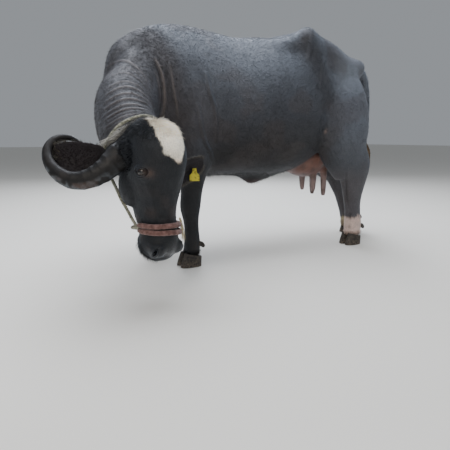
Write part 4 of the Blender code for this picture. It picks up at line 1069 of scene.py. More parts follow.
def lumpy(tree, where, *layers):
    """Bumps on top of one another, given by the size of their lumps, detail and depth in metres."""
    normal = None
    for size, detail, depth in layers:
        normal = raised(tree, grain(tree, where, size, detail), depth, normal)
    return normal


def feed(tree, shader, **sockets):
    """Links outputs to the shader's sockets (_ stands for a space)."""
    for key, value in sockets.items():
        tree.links.new(value, shader.inputs[key.replace("_", " ")])


def times(tree, colour, factor):
    """A colour multiplied by a number."""
    mixed = node(tree, "VectorMath", {0: colour, 1: factor}, operation="MULTIPLY")
    return mixed.outputs["Vector"]


def attribute(tree, name, output="Fac"):
    """A value that is stored on the mesh's points."""
    return node(tree, "Attribute", attribute_name=name).outputs[output]


def mixed_colour(tree, share, first, second):
    """Mix of two colours or sockets; a colour mix has its sockets at these numbers."""
    return node(tree, "Mix", {0: share, 6: first, 7: second}, data_type="RGBA").outputs[2]


def ramp_colour(tree, value, first, second):
    """Mix of two sRGB colours by a value."""
    return mixed_colour(tree, value, (*linear(first), 1.0), (*linear(second), 1.0))


print("material helpers ready")

# %% Hide
# Greased, short-haired buffalo hide: the tone is the hide's own with painted light and shade in it, the
# sheen is the light that the fine hairs scatter, and the bump is hair grain, the net of cracks between
# scale-like fields, and soft lumps.
hide, tree, shader = new_material("buffalo hide, short-haired", Sheen_Weight=0.22, Sheen_Roughness=0.45,
                                  Specular_IOR_Level=0.35)
shader.inputs["Sheen Tint"].default_value = (*linear("#b9c6d8"), 1.0)
where = place_of(tree)
mottle = fitted(tree, grain(tree, where, 0.006, 4.0), 0.3, 0.7, 0.78, 1.22)
dry = fitted(tree, grain(tree, where, 0.05), 0.3, 0.7, 0.50, 0.66)
rough = node(tree, "Mix", {0: attribute(tree, "wet"), 2: dry, 3: 0.16}).outputs[0]
cracks = node(tree, "TexVoronoi", {"Vector": where, "Scale": 1.0 / 0.007}, feature="DISTANCE_TO_EDGE")
bump = raised(tree, grain(tree, where, 0.040), 0.0008)
bump = raised(tree, fitted(tree, cracks.outputs["Distance"], 0.0, 0.12, 0.0, 1.0), 0.0002, bump)
bump = raised(tree, grain(tree, where, 0.0022, 2.0), 0.0008, bump)
feed(tree, shader, Base_Color=times(tree, attribute(tree, "tone", "Color"), mottle), Roughness=rough,
     Normal=bump)

# Buffalo hair: dark, slightly glossy keratin; the colour is that of the hide at each hair's root.
hair, tree, shader = new_material("buffalo hair", Roughness=0.48, Specular_IOR_Level=0.4)
feed(tree, shader, Base_Color=attribute(tree, "tone", "Color"))
print("hide and hair materials ready")

# %% [markdown]
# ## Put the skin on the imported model
#
# A piece is shaped in the body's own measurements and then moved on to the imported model. Each one
# names the solids that it stands for, so that those aren't drawn twice.

# %% Place the skin
FLESH = ("trunk", "neck", "head", "ear_left", "ear_right", "foreleg_left", "foreleg_right",
         "hindleg_left", "hindleg_right", "tail", "udder")


def place(name, mesh, material, slot, *solids):
    """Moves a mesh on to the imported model, smooths its shading and lets it ride on the body."""
    mesh.transform(Matrix.Translation(STEP))
    mesh.shade_smooth()
    mesh.materials.append(material)
    thing = show(name, mesh)
    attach(thing, "root")
    if solids:
        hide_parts(*solids)


skin_tree = tree_of(skin_mesh)
place("skin", skin_mesh.copy(), hide, "hide", *FLESH)
print("skin placed, standing for", len(FLESH), "solids")

# %% [markdown]
# ## Horns
#
# The horns are flat in section and sweep down, out and back up into a ring round the ear. A horn grows
# from its root, so good and lean seasons leave rings, deep near the root and fainter to the tip. The
# sweep takes a table of relief that multiplies each section; the rings' grooves carry painted shade, and
# pale specks on the outer rim are a painted highlight.

# %% Horns
# distance outwards, height, distance towards the viewer, half width and half thickness
HORN = (
    (0.050, -0.122, -0.014, 0.064, 0.036), (0.095, -0.130, 0.004, 0.062, 0.034),
    (0.150, -0.154, 0.026, 0.058, 0.031), (0.205, -0.206, 0.048, 0.050, 0.027),
    (0.270, -0.243, 0.056, 0.043, 0.024), (0.342, -0.252, 0.050, 0.038, 0.022),
    (0.405, -0.224, 0.034, 0.032, 0.020), (0.446, -0.176, 0.010, 0.025, 0.018),
    (0.455, -0.124, -0.018, 0.021, 0.016), (0.428, -0.086, -0.044, 0.018, 0.014),
    (0.380, -0.077, -0.062, 0.014, 0.011), (0.328, -0.098, -0.072, 0.005, 0.005),
)
HORN_SWEEP = {1: 45.0, -1: 57.0}     # degrees that the right and the left horn are swept back
HORN_PIVOT = (0.095, 0.004)
HORN_ROOT = (0.070, -0.064)
HORN_SECTIONS = 260
HORN_AROUND = 52
CURL_START = 70                      # the section at which the horn's ring round the ear begins
RINGS = 17                           # growth rings from root to tip


def beside_head(rows, side):
    """Points of the horn's table, turned back by its sweep, in the body's frame."""
    rows = np.atleast_2d(rows)
    turn = math.radians(HORN_SWEEP[side])
    out, near = rows[:, 0] - HORN_PIVOT[0], rows[:, 2] - HORN_PIVOT[1]
    right = HORN_ROOT[0] + out * math.cos(turn) + near * math.sin(turn)
    face = HORN_ROOT[1] - out * math.sin(turn) + near * math.cos(turn)
    return from_head(np.column_stack((side * right, face, rows[:, 1])))


def growth_rings(s, turn, seed):
    """Relief 0.98 + a(s) (0.6 - |sin(pi RINGS s^0.85)|^0.7): rings, closer near the root, and ripples."""
    draw = np.random.default_rng(seed)
    wander = 0.35 * np.interp(s, np.linspace(0, 1, 12), draw.uniform(-1, 1, 12))
    phase = RINGS * s ** 0.85 + wander
    slant = 0.12 * np.sin(turn + 1.0)[None]
    ridge = 1.0 - np.abs(np.sin(math.pi * (phase[:, None] + slant))) ** 0.7
    height = 0.075 * (1.0 - s[:, None]) ** 1.2 + 0.008
    fine = 0.006 * np.sin(2.0 * math.pi * 9.0 * (phase[:, None] + slant)) * (1.0 - s[:, None])
    return 1.0 - 0.02 + height * (ridge - 0.4) + fine


def horn_mesh(side):
    """The horn's surface and its colour, with painted shade in its grooves and a painted highlight on the
    outer rim.
    """
    rows = through(HORN, HORN_SECTIONS)
    path = beside_head(rows[:, :3], side)
    across = beside_head(np.array((0.0, 0.0, 1.0)), side)[0] - beside_head(np.zeros(3), side)[0]
    s = np.linspace(0.0, 1.0, HORN_SECTIONS)
    turn = turns(HORN_AROUND)
    relief = growth_rings(s, turn, 5 + side)
    broad, thick = rows[:, 3], rows[:, 4]
    points, faces = sweep(path, thick, broad, broad, across, 0.0, (0.2, 0.8), HORN_AROUND, relief)
    mesh = mesh_of("horn", points, faces)
    nearest = np.clip(distance_to(points, path[::4])[1], 0.0, 1.0)
    axis = np.stack([np.interp(nearest, s, path[:, k]) for k in range(3)], 1)
    centre = path[CURL_START:].mean(0)
    outward = (unit(points - axis) * unit(axis - centre)).sum(1)
    deep = np.ones(len(points))
    start = len(CAP) * HORN_AROUND
    deep[start:start + relief.size] = (relief / relief.mean(1, keepdims=True)).ravel()
    # painted highlight: pale specks on the side of the horn facing out of its curl
    rim_highlight = smooth_step(0.3, 0.7, noise(points, 0.018, 13)) * smooth_step(0.55, 0.98, outward)
    bend = smooth_step(0.30, 0.40, nearest) * smooth_step(0.58, 0.48, nearest)
    bend = smooth_step(0.6, 0.9, outward) * bend
    tone = layered(len(points), "#0b0a0c", (
        ("#171312", 0.7 * smooth_step(0.45, 0.7, noise(points, 0.045, 11))),
        ("#5f666d", 0.65 * rim_highlight * smooth_step(0.15, 0.40, nearest)),
        ("#4a3932", 0.6 * bend * smooth_step(0.4, 0.6, noise(points, 0.03, 12))),
        ("#0f0f10", 0.8 * smooth_step(0.16, 0.06, nearest)),
    ))
    # painted shade: the grooves between the growth rings darker
    give(mesh, "tone", tone * smooth_step(0.90, 1.02, deep)[:, None] ** 0.5)
    return mesh


# Horn: layered keratin, satin in places, with fine cracks along it; the tone has painted shade in the
# grooves and pale specks on the outer rim as a painted highlight.
keratin, tree, shader = new_material("buffalo horn, ringed keratin", Specular_IOR_Level=0.32,
                                     Coat_Weight=0.05, Coat_Roughness=0.35)
where = place_of(tree)
flaky = fitted(tree, grain(tree, where, 0.009, 5.0), 0.3, 0.7, 0.70, 1.30)
feed(tree, shader, Base_Color=times(tree, attribute(tree, "tone", "Color"), flaky),
     Roughness=fitted(tree, grain(tree, where, 0.02), 0.3, 0.7, 0.36, 0.62),
     Normal=lumpy(tree, where, (0.016, 4.0, 0.0016), (0.0025, 3.0, 0.0006)))
for word, side in (("right", 1), ("left", -1)):
    place("ringed_horn_" + word, horn_mesh(side), keratin, "horn", "horn_" + word)
print("horns placed")

# %% [markdown]
# ## Hooves and dewclaws
#
# A buffalo stands on two claws a foot, wide and flat for soft ground. Each is a D-shaped section that
# leans back as it rises; its wall has faint level rings, and its upper edge slopes down to the heel.

# %% Hooves and dewclaws
STANCE = 0.16                # how far a foot's middle stands from the animal's middle plane
CLAW_APART = 0.031
DEWCLAW_APART = 0.027
CORONET, CORONET_SLOPE = 0.0735, 0.22
# step backwards, height, half length and half width of a claw's sections
CLAW = ((-0.014, -0.005, 0.066, 0.0295), (-0.009, 0.03, 0.062, 0.029), (-0.003, 0.06, 0.057, 0.028),
        (0.003, 0.100, 0.050, 0.0265))
CLAW_SECTIONS, CLAW_AROUND = 34, 48
WALL_RINGS = 0.0085          # height from one level ring of the hoof's wall to the next
DEWCLAW_BEHIND = {"fore": 0.064, "hind": 0.076}
LEGS = {"foreleg_left": (FORELEG, -1, 0.0), "foreleg_right": (FORELEG, 1, FAR_FORE_STEP),
        "hindleg_left": (HINDLEG, -1, 0.0), "hindleg_right": (HINDLEG, 1, FAR_HIND_STEP)}


def foot_of(leg):
    """Where the middle of a leg's hoof stands: x0 + step (1 - 0.05 / top)^curve."""
    rows, side, step = LEGS[leg]
    x = (-0.006 if rows is FORELEG else 1.264) + step * (1.0 - 0.05 / rows[0][2]) ** STEP_CURVE
    return x, side * STANCE


def claw_mesh(x, y, inner):
    """Rings of |cos|^0.85, |sin|^0.80 sections; the side towards the cleft is flatter."""
    rows = through(CLAW, 60)
    turn = turns(CLAW_AROUND)
    long = np.sign(np.cos(turn)) * np.abs(np.cos(turn)) ** 0.85
    wide = np.sign(np.sin(turn)) * np.abs(np.sin(turn)) ** 0.80
    wide = np.where(wide * inner > 0.0, 0.93 * wide, wide)
    share = np.linspace(0.0, 1.0, CLAW_SECTIONS)[:, None]
    px = x + rows[0, 0]
    for _ in range(3):
        height = share * (CORONET - CORONET_SLOPE * (px - x))
        centre, half, breadth = (np.interp(height, rows[:, 1], rows[:, k]) for k in (0, 2, 3))
        px = x + centre + half * long
    ring = 1.0 + 0.006 * np.sin(2.0 * math.pi * height / WALL_RINGS) * (share > 0.05) - 0.10 * (share < 0.02)
    rings = np.stack((x + centre + half * long * ring, y + breadth * wide * ring, height), -1)
    top_middle = np.array((x, y, CORONET - 0.004))
    lip = (rings[-1] - top_middle) * (0.93, 0.93, 1.0) + top_middle + (0.0, 0.0, 0.001)
    return skin_of(np.concatenate((rings, lip[None])), np.array((x - 0.01, y, 0.0008)), top_middle)


# Hoof wall: grey keratin under dried mud; darker near the coronet, scuffed and dusty at the ground.
hoof, tree, shader = new_material("hoof wall, dusty keratin", Roughness=0.72)
where = place_of(tree)
height = node(tree, "SeparateXYZ", {"Vector": where}).outputs["Z"]
dusty = fitted(tree, grain(tree, where, 0.012, 5.0), 0.35, 0.65, 0.0, 1.0)
low_dust = node(tree, "Math", {0: dusty, 1: fitted(tree, height, 0.0, 0.06, 1.0, 0.35)}, operation="MULTIPLY")
feed(tree, shader, Base_Color=ramp_colour(tree, low_dust.outputs["Value"], "#221e1c", "#6b6054"),
     Normal=lumpy(tree, where, (0.010, 4.0, 0.0012), (0.0018, 3.0, 0.0005)))
for leg in LEGS:
    x, y = foot_of(leg)
    for inner, word in ((1, "_a"), (-1, "_b")):
        claw = mesh_of("claw", *claw_mesh(x, y - inner * CLAW_APART, inner))
        place("hoof_" + leg + word, claw, hoof, "hoof", "claw_" + leg + word)
    spurs = []
    for side in (-1, 1):
        bx, by = x + DEWCLAW_BEHIND[leg[:4]], y + side * DEWCLAW_APART
        spurs.append(rod(((bx - 0.024, by, 0.140, 0.0155), (bx - 0.004, by, 0.130, 0.015),
                          (bx + 0.008, by, 0.118, 0.0105)), 26, 24, rounds=(0.2, 0.7)))
    place("dewclaws_" + leg, mesh_of("dewclaws", *gathered(spurs)), hoof, "hoof",
          "dewclaw_" + leg + "_a", "dewclaw_" + leg + "_b")
print("hooves placed under", len(LEGS), "legs")

# %% [markdown]
# ## Eyes
#
# A cow's eye is a ball with a slightly bulging cornea. Its pupil is a level slot, its iris a dark brown,
# and a film of tears gives the one sharp highlight that brings the face to life. Two attributes on the
# ball measure how far a point lies from the middle of its gaze, level and upright.

# %% Eyes
CORNEA = 0.0009


def eye_mesh(side):
    """A sphere with a cornea: radius r + c exp(-(angle / 0.45)^2)."""
    centre, level, upward, out = eye_axes(side)
    u = turns(64)
    v = np.linspace(0.0, math.pi, 66)[1:-1, None]
    reach = EYE_RADIUS + CORNEA * np.exp(-(v / 0.45) ** 2)
    flat = (reach * np.sin(v))[..., None] * (np.cos(u)[:, None] * level + np.sin(u)[:, None] * upward)
    rings = flat + (reach * np.cos(v))[..., None] * out
    first, last = (EYE_RADIUS + CORNEA) * out, -EYE_RADIUS * out
    points, faces = skin_of(rings, first, last)
    mesh = mesh_of("eye", from_head(points + centre), faces)
    give(mesh, "level", points @ level / EYE_RADIUS)
    give(mesh, "upright", points @ upward / EYE_RADIUS)
    return mesh


# Living eye: a dark brown iris round a level pupil, a brown-stained white, and tears as a clear coat.
eye, tree, shader = new_material("eyeball, wet", Roughness=0.30, Coat_Weight=0.30, Coat_Roughness=0.03)
level, upright = attribute(tree, "level"), attribute(tree, "upright")
far = node(tree, "CombineXYZ", {"X": level, "Y": upright, "Z": 0.0}).outputs["Vector"]
iris = node(tree, "VectorMath", {0: far}, operation="LENGTH").outputs["Value"]
slot = node(tree, "VectorMath", {0: far, 1: (1.9, 3.6, 1.0)}, operation="MULTIPLY").outputs["Vector"]
pupil = node(tree, "VectorMath", {0: slot}, operation="LENGTH").outputs["Value"]
fibres = fitted(tree, grain(tree, place_of(tree), 0.0015, 3.0), 0.3, 0.7, 0.0, 1.0)
brown = ramp_colour(tree, fibres, "#140b07", "#28170c")
inner = mixed_colour(tree, fitted(tree, pupil, 0.85, 1.05, 1.0, 0.0), brown, (0.002, 0.002, 0.003, 1.0))
white = ramp_colour(tree, fibres, "#2e2521", "#463a34")
whole = mixed_colour(tree, fitted(tree, iris, 0.66, 0.74, 0.0, 1.0), inner, white)
feed(tree, shader, Base_Color=whole)
for word, side in (("right", 1), ("left", -1)):
    place("eyeball_" + word, eye_mesh(side), eye, "eye", "eye_" + word)
print("eyes placed")

# %% [markdown]
# ## Halter and tag
#
# Two rolls of padded cloth lie over the nose and a three-strand rope holds them: each strand is a tube
# that winds round the rope's line, which itself follows the skin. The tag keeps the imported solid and
# only gets rounded edges and moulded plastic.

# %% Halter
# lines in the head's frame
UPPER_ROLL = (
    (0.085, -0.030, -0.447), (0.080, 0.030, -0.447), (0.058, 0.075, -0.446), (0.0, 0.102, -0.445),
    (-0.058, 0.075, -0.450), (-0.080, 0.030, -0.452), (-0.085, -0.030, -0.452),
)
LOWER_ROLL = (
    (0.085, -0.028, -0.472), (0.082, 0.030, -0.472), (0.060, 0.077, -0.473), (0.0, 0.106, -0.474),
    (-0.060, 0.077, -0.484), (-0.082, 0.030, -0.482), (-0.085, -0.028, -0.478),
)
# the rope's lines from the rolls' right end to the middle of the head; the other half mirrors them
CROWN = (
    (0.085, -0.034, -0.460), (0.078, -0.085, -0.420), (0.080, -0.128, -0.365), (0.090, -0.180, -0.280),
    (0.115, -0.215, -0.190), (0.122, -0.190, -0.110), (0.095, -0.150, -0.045), (0.055, -0.115, -0.014),
    (0.0, -0.102, -0.002),
)
JAW_STRAP = ((0.085, -0.030, -0.460), (0.070, -0.090, -0.468), (0.040, -0.125, -0.474), (0.0, -0.135, -0.475))
ROLL_RADIUS = 0.0115
ROLL_SECTIONS, ROLL_AROUND = 260, 28
WRAP = 0.021                 # length of one spiral wrap of the cloth
ROPE_RADIUS = 0.0075
SNUG = 0.86                  # share of its radius that a roll or rope keeps off the skin
TWIST = 0.034                # length in which a strand winds once round the rope


def along_hide(rows, radius, count, fine):
    """A taut line: each point keeps its place or moves out until it is most of a radius off the skin."""
    line = []
    for point in from_head(through(rows, count)):
        spot, normal, _, _ = skin_tree.find_nearest(Vector(point))
        line.append(np.array(spot + normal * max((Vector(point) - spot).dot(normal), radius * SNUG)))
    line = np.array(line)
    for _ in range(4):
        line[1:-1] = (line[:-2] + 2.0 * line[1:-1] + line[2:]) / 4.0
    return through(line, fine)


def length_along(path):
    """Length of the path up to each of its points."""
    return np.concatenate(([0.0], np.cumsum(norms(np.diff(path, axis=0)))))


def carried(path):
    """Across directions carried along a path without twist: a(i+1) = a(i) less its part along the path."""
    along = unit(np.gradient(path, axis=0))
    across = [unit(np.cross(along[0], (0.3, 0.2, 1.0)))]
    for a in along[1:]:
        across.append(unit(across[-1] - (across[-1] @ a) * a))
    return np.array(across)


def roll_surface(rows):
    """A padded roll with shallow spiral wraps and a wandering thickness."""
    path = along_hide(rows, ROLL_RADIUS, 40, ROLL_SECTIONS)
    turn = turns(ROLL_AROUND)
    phase = length_along(path)[:, None] / WRAP + turn[None] / (2.0 * math.pi)
    wrap = np.abs(np.sin(math.pi * phase)) ** 0.6
    lumps = noise(path, 0.03, 21)[:, None]
    end = np.sin(math.pi * np.linspace(0.03, 0.97, ROLL_SECTIONS)) * 4.0
    relief = (0.93 + 0.10 * wrap + 0.10 * (lumps - 0.5)) * np.sqrt(np.clip(end, 0.35, 1.0))[:, None]
    size = np.full(ROLL_SECTIONS, ROLL_RADIUS)
    return sweep(path, size, size, size, carried(path), 0.0, (0.5, 0.5), ROLL_AROUND, relief)


def rope_surfaces(half, count, fine):
    """Three strands: line + R/2 (cos(p + 2 pi k / 3) across + sin(p + 2 pi k / 3) up), p = 2 pi l / twist."""
    rows = np.vstack((half, np.array(half[-2::-1]) * (-1, 1, 1)))
    path = along_hide(rows, ROPE_RADIUS, count, fine)
    length = length_along(path)
    across = carried(path)
    up = np.cross(unit(np.gradient(path, axis=0)), across)
    strands = []
    for k in range(3):
        phase = 2.0 * math.pi * (length / TWIST + k / 3.0)
        line = path + 0.47 * ROPE_RADIUS * (np.cos(phase)[:, None] * across + np.sin(phase)[:, None] * up)
        thick = 0.56 * ROPE_RADIUS * (0.92 + 0.16 * noise(line, 0.012, 30 + k))
        strands.append(sweep(line, thick, thick, thick, carried(line), 0.0, (0.6, 0.6), 10))
    return strands


# Padded cloth: faded red-brown cotton, dusty and matt, with a weave of about a millimetre.
cloth, tree, shader = new_material("padded cloth, faded cotton", Roughness=0.92, Sheen_Weight=0.2)
where = place_of(tree)
faded = fitted(tree, grain(tree, where, 0.02, 5.0), 0.35, 0.68, 0.0, 1.0)
feed(tree, shader, Base_Color=ramp_colour(tree, faded, "#50332e", "#80605a"),
     Normal=lumpy(tree, where, (0.006, 4.0, 0.0012), (0.0011, 2.0, 0.0005)))

# Rope: twisted grey-green fibre, lighter where it is rubbed, with hairy fibres as a fine bump.
fibre, tree, shader = new_material("rope, twisted fibre", Roughness=0.9, Sheen_Weight=0.2)
where = place_of(tree)
worn = fitted(tree, grain(tree, where, 0.010, 5.0), 0.35, 0.65, 0.0, 1.0)
feed(tree, shader, Base_Color=ramp_colour(tree, worn, "#56584b", "#a5a494"),
     Normal=lumpy(tree, where, (0.0014, 4.0, 0.0012)))

for word, rows in (("upper", UPPER_ROLL), ("lower", LOWER_ROLL)):
    roll = mesh_of("roll", *roll_surface(rows))
    place("padded_roll_" + word, roll, cloth, "noseband_cloth", "noseband_" + word)
strands = rope_surfaces(CROWN, 90, 620) + rope_surfaces(JAW_STRAP, 30, 170)
place("twisted_rope", mesh_of("rope", *gathered(strands)), fibre, "rope", "halter_rope")
print("halter:", len(strands), "strands and 2 rolls")

# %% Ear tag
# Tag plastic: yellow, slightly glossy, scuffed and smudged with dark dirt.
plastic, tree, shader = new_material("ear tag, moulded plastic", Roughness=0.42)
where = place_of(tree)
smudge = fitted(tree, grain(tree, where, 0.011, 5.0), 0.50, 0.66, 0.0, 0.85)
feed(tree, shader, Base_Color=ramp_colour(tree, smudge, "#cfc02c", "#4d4a1c"),
     Normal=lumpy(tree, where, (0.004, 4.0, 0.0003)))
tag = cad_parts["ear_tag"]
tag.data.materials.clear()
tag.data.materials.append(plastic)
rounding = tag.modifiers.new("rounding", "BEVEL")
rounding.width = 0.0007
rounding.segments = 2
rounding.limit_method = "ANGLE"
print("ear tag finished")

# %% [markdown]
# ## Hair as solid blades
#
# Hair is made of thin closed blades: a three-cornered section carried along a bent line and drawn to a
# point. One function builds any number of them at once from arrays of roots, bends and tips. The
# switch of the tail is some hundreds of long ones in loose locks.

# %% Blades of hair
CORNERS = np.array(((-1.0, 0.0), (1.0, 0.0), (0.0, 0.55)))     # of a blade's section, in half widths


def blades(root, middle, tip, across, width, rings):
    """(1-s)^2 root + 2 s (1-s) middle + s^2 tip, with half width w (1 - s^1.7), closed at both ends."""
    count = len(root)
    s = (np.arange(rings) / rings)[None, :, None]
    line = (1 - s) ** 2 * root[:, None] + 2 * s * (1 - s) * middle[:, None] + s ** 2 * tip[:, None]
    along = unit(tip - root)
    across = unit(across - (across * along).sum(1, keepdims=True) * along)
    lift = np.cross(along, across)
    size = width[:, None, None] * (1.0 - s ** 1.7)
    sides = CORNERS[:, 0, None] * across[:, None] + CORNERS[:, 1, None] * lift[:, None]
    points = line[:, :, None] + size[..., None] * sides[:, None]
    points = np.concatenate((points.reshape(count, rings * 3, 3), tip[:, None]), axis=1)
    k = np.arange(3)
    k1 = (k + 1) % 3
    ring = 3 * np.arange(rings - 1)[:, None]
    quads = np.stack((ring + k, ring + k1, ring + 3 + k1, ring + 3 + k), -1).reshape(-1, 4)
    last = 3 * (rings - 1)
    fans = np.vstack(((0, 2, 1), np.stack((last + k, last + k1, np.full(3, 3 * rings)), 1)))
    start = (np.arange(count) * (3 * rings + 1))[:, None, None]
    faces = [(start + fans).reshape(-1, 3)]
    if rings > 1:
        faces.insert(0, (start + quads).reshape(-1, 4))
    return points.reshape(-1, 3), faces


PATCH = 0.0015               # half the width of a tuft's patch on the bake chart
CHART = 3                    # charts a side on the bake map
NECK_LINE = np.array(NECK)[:, :3]


def charted(points):
    """Places on nine bake charts: trunk, neck, head, ears, four legs and tail, unrolled or seen flat."""
    x, y, z = points.T
    local, head, neck = to_head(points), in_head(points), in_neck(points)
    turn = np.arctan2(y, z - 0.95) / (2.0 * math.pi) + 0.5
    number, u, v = np.zeros(len(points), int), turn, (x + 0.45) / 1.9
    along = distance_to(points, NECK_LINE)[1]
    leg = (z < 0.50) & (np.abs(y) > 0.03) & ~((np.abs(x - 0.9) < 0.28) & (np.abs(y) < 0.10))
    ears = on_ear(points) > 0.5
    cases = [
        (neck > 0.5, 1, turn, along),
        (head > 0.5, 2, np.arctan2(local[:, 0], local[:, 1]) / (2.0 * math.pi) + 0.5, local[:, 2] / -0.65),
        (ears, 3, np.abs(local[:, 0]) / 0.4, 0.5 + 0.45 * np.sign(local[:, 0]) * (0.2 + local[:, 2] / -0.4)),
        (leg, 4, (x - np.where(x < 0.6, 0.0, 1.2)) / 0.9 + 0.5, z / 0.5),
        (x > TAIL_START, 8, np.arctan2(y, x - 1.47) / (2.0 * math.pi) + 0.5, z / 1.3),
    ]
    for chosen, place_number, new_u, new_v in cases:
        number = np.where(chosen, place_number, number)
        u, v = np.where(chosen, new_u, u), np.where(chosen, new_v, v)
    number = np.where(number == 4, 4 + 2 * (x > 0.6) + (y > 0.0), number)
    flat = np.stack((u, v), 1).clip(0.0, 1.0) * 0.94 + 0.03
    return (flat + np.stack((number % CHART, number // CHART), 1)) / CHART


def hair_mesh(name, parts, tone, rings):
    """A mesh of blades with each blade's tone, a little darker at its root, and its place on the chart."""
    points, faces = blades(*parts, rings)
    mesh = mesh_of(name, points, faces)
    each = 3 * rings + 1
    shade = np.tile(np.append(np.repeat(np.linspace(0.80, 1.15, rings), 3), 1.25), len(tone))
    give(mesh, "tone", np.repeat(tone, each, axis=0) * shade[:, None])
    mapped = mesh.uv_layers.new(name="OFBake")
    corner = rows_of(mesh.loops, "vertex_index", 1)[:, 0]
    spread = PATCH * np.stack((np.cos(2.4 * np.arange(each)), np.sin(2.4 * np.arange(each))), 1)
    flat = np.repeat(charted(parts[0]), each, axis=0) + np.tile(spread, (len(tone), 1))
    mapped.data.foreach_set("uv", flat[corner].astype(np.float32).ravel())
    return mesh


# %% Switch of the tail
SWITCH_ROOT = np.array((1.484, 0.0, 0.738))
# hairs in each layer, radius and height of the belly, radius and height of the tip, half width
SWITCH_LAYERS = ((150, 0.027, 0.676, 0.030, 0.606, 0.0022), (230, 0.037, 0.626, 0.021, 0.522, 0.0024),
                 (150, 0.020, 0.600, 0.010, 0.490, 0.0022))


def switch_parts(draw):
    """Roots round the tail's end, bends round the belly and tips that gather in loose locks."""
    parts = []
    for count, belly_r, belly_z, tip_r, tip_z, width in SWITCH_LAYERS:
        angle = draw.uniform(0.0, 2.0 * math.pi, count)
        gather = np.round(angle / 0.7) * 0.7
        out = np.stack((np.cos(angle), np.sin(angle), 0 * angle), 1)
        lock = np.stack((np.cos(gather), np.sin(gather), 0 * gather), 1)
        root = SWITCH_ROOT + out * 0.016 - np.outer(draw.uniform(0.0, 0.030, count), UP)
        middle = np.array((1.514, 0.0, belly_z)) + out * belly_r * draw.uniform(1.0, 1.5, (count, 1))
        tip = np.array((1.521, 0.0, tip_z)) + lock * tip_r + draw.normal(0.0, 0.005, (count, 3))
        tip[:, 2] += draw.uniform(-0.020, 0.025, count)
        parts.append((root, middle, tip, np.cross(out, UP), np.full(count, width)))
    return [np.concatenate(p) for p in zip(*parts)]


draw = np.random.default_rng(12)
parts = switch_parts(draw)
tone = np.tile(linear("#8d7350"), (len(parts[0]), 1)) * draw.uniform(0.45, 1.35, (len(parts[0]), 1))
tone = painted(tone, "#3a2f25", smooth_step(0.70, 0.735, parts[0][:, 2]) * 0.6)
place("tail_hair", hair_mesh("switch", parts, tone, 8), hair, "switch_hair", "tail_switch")
print("switch:", len(parts[0]), "hairs")

# %% Frayed end of the rope
# the loose fibres hang beside the far ends of the rolls
draw = np.random.default_rng(31)
count = 60
top = from_head(np.array((-0.068, 0.066, -0.425)) + draw.normal(0.0, 0.002, (count, 3)))
bottom = from_head(np.array((-0.072, 0.080, -0.530)) + draw.normal(0.0, 0.006, (count, 3)))
middle = (top + bottom) / 2 + 0.014 * HEAD_AXES[1] + draw.normal(0.0, 0.003, (count, 3))
tone = np.tile(linear("#d8c9a0"), (count, 1)) * draw.uniform(0.5, 1.2, (count, 1))
parts = (top, middle, bottom, draw.normal(size=(count, 3)), np.full(count, 0.0011))
frayed = hair_mesh("frayed", parts, tone, 7)
place("frayed_rope_end", frayed, hair, "rope")
print("frayed end:", count, "fibres")

# %% [markdown]
# ## The coat
#
# Buffalo hair is short, sparse and coarse. Over the body it is mostly bump, with flat tufts that catch
# the light and roughen the outline; it is longer along the neck's crest, the poll, the ears, the chin
# and the brisket. Roots are drawn at random on the skin's triangles in proportion to their area and a
# density, and each tuft takes its colour from the hide under it.

# %% Where hair grows and how it lies
def lie(points, normals):
    """Which way the hair lies: back and down on the body, down the legs and face, out along the ears."""
    local, head, neck = to_head(points), in_head(points)[:, None], in_neck(points)[:, None]
    flow = np.tile((0.88, 0.0, -0.48), (len(points), 1))
    low = smooth_step(0.75, 0.55, points[:, 2])[:, None] * (1.0 - head)
    flow = flow * (1.0 - low) + np.array((0.25, 0.0, -1.0)) * low
    flow = flow * (1.0 - neck) + np.array((0.35, 0.55, -0.62)) * neck
    down = np.column_stack((0.5 * local[:, 0], 0.0 * local[:, 0], np.full(len(local), -1.0))) @ HEAD_AXES
    flow = flow * (1.0 - head) + down * head
    tail = smooth_step(1.38, 1.44, points[:, 0])[:, None]
    flow = flow * (1.0 - tail) + np.array((0.05, 0.0, -1.0)) * tail
    for _, _, axis, _, here in ears_of(local):
        ear = (on_ear(points) * here)[:, None]
        flow = flow * (1.0 - ear) + axis @ HEAD_AXES * ear
    swirl = np.stack([noise(points, 0.09, 40 + k) - 0.5 for k in range(3)], 1)
    flow = flow + 0.7 * swirl
    return unit(flow - (flow * normals).sum(1, keepdims=True) * normals)


def from_eyes(local):
    """Distance to the nearer eye's middle, for points of the head's frame."""
    return np.minimum(*(norms(local - EYE * (side, 1, 1)) for side in (1, -1)))


def hair_length(points):
    """Length of the short coat: 15 mm on the body, more on the neck, less on the legs, least on the face."""
    local, head = to_head(points), in_head(points)
    length = 0.015 + 0.004 * in_neck(points)
    length = length - 0.005 * smooth_step(0.60, 0.35, points[:, 2])
    length = length - 0.003 * smooth_step(0.20, 0.10, points[:, 2])
    face = 0.009 - 0.005 * smooth_step(-0.40, -0.54, local[:, 2])
    face = face + 0.004 * smooth_step(-0.10, 0.0, local[:, 2])
    face = face * (0.45 + 0.55 * smooth_step(0.028, 0.055, from_eyes(local)))
    return length * (1.0 - head) + face * head


skin_triangles = triangles_of(skin_mesh)
corners = skin_points[skin_triangles]
sides = (corners[:, 1] - corners[:, 0], corners[:, 2] - corners[:, 0])
areas = 0.5 * norms(np.cross(*sides))
middles = corners.mean(1)
print("skin area", areas.sum().round(2), "square metres")


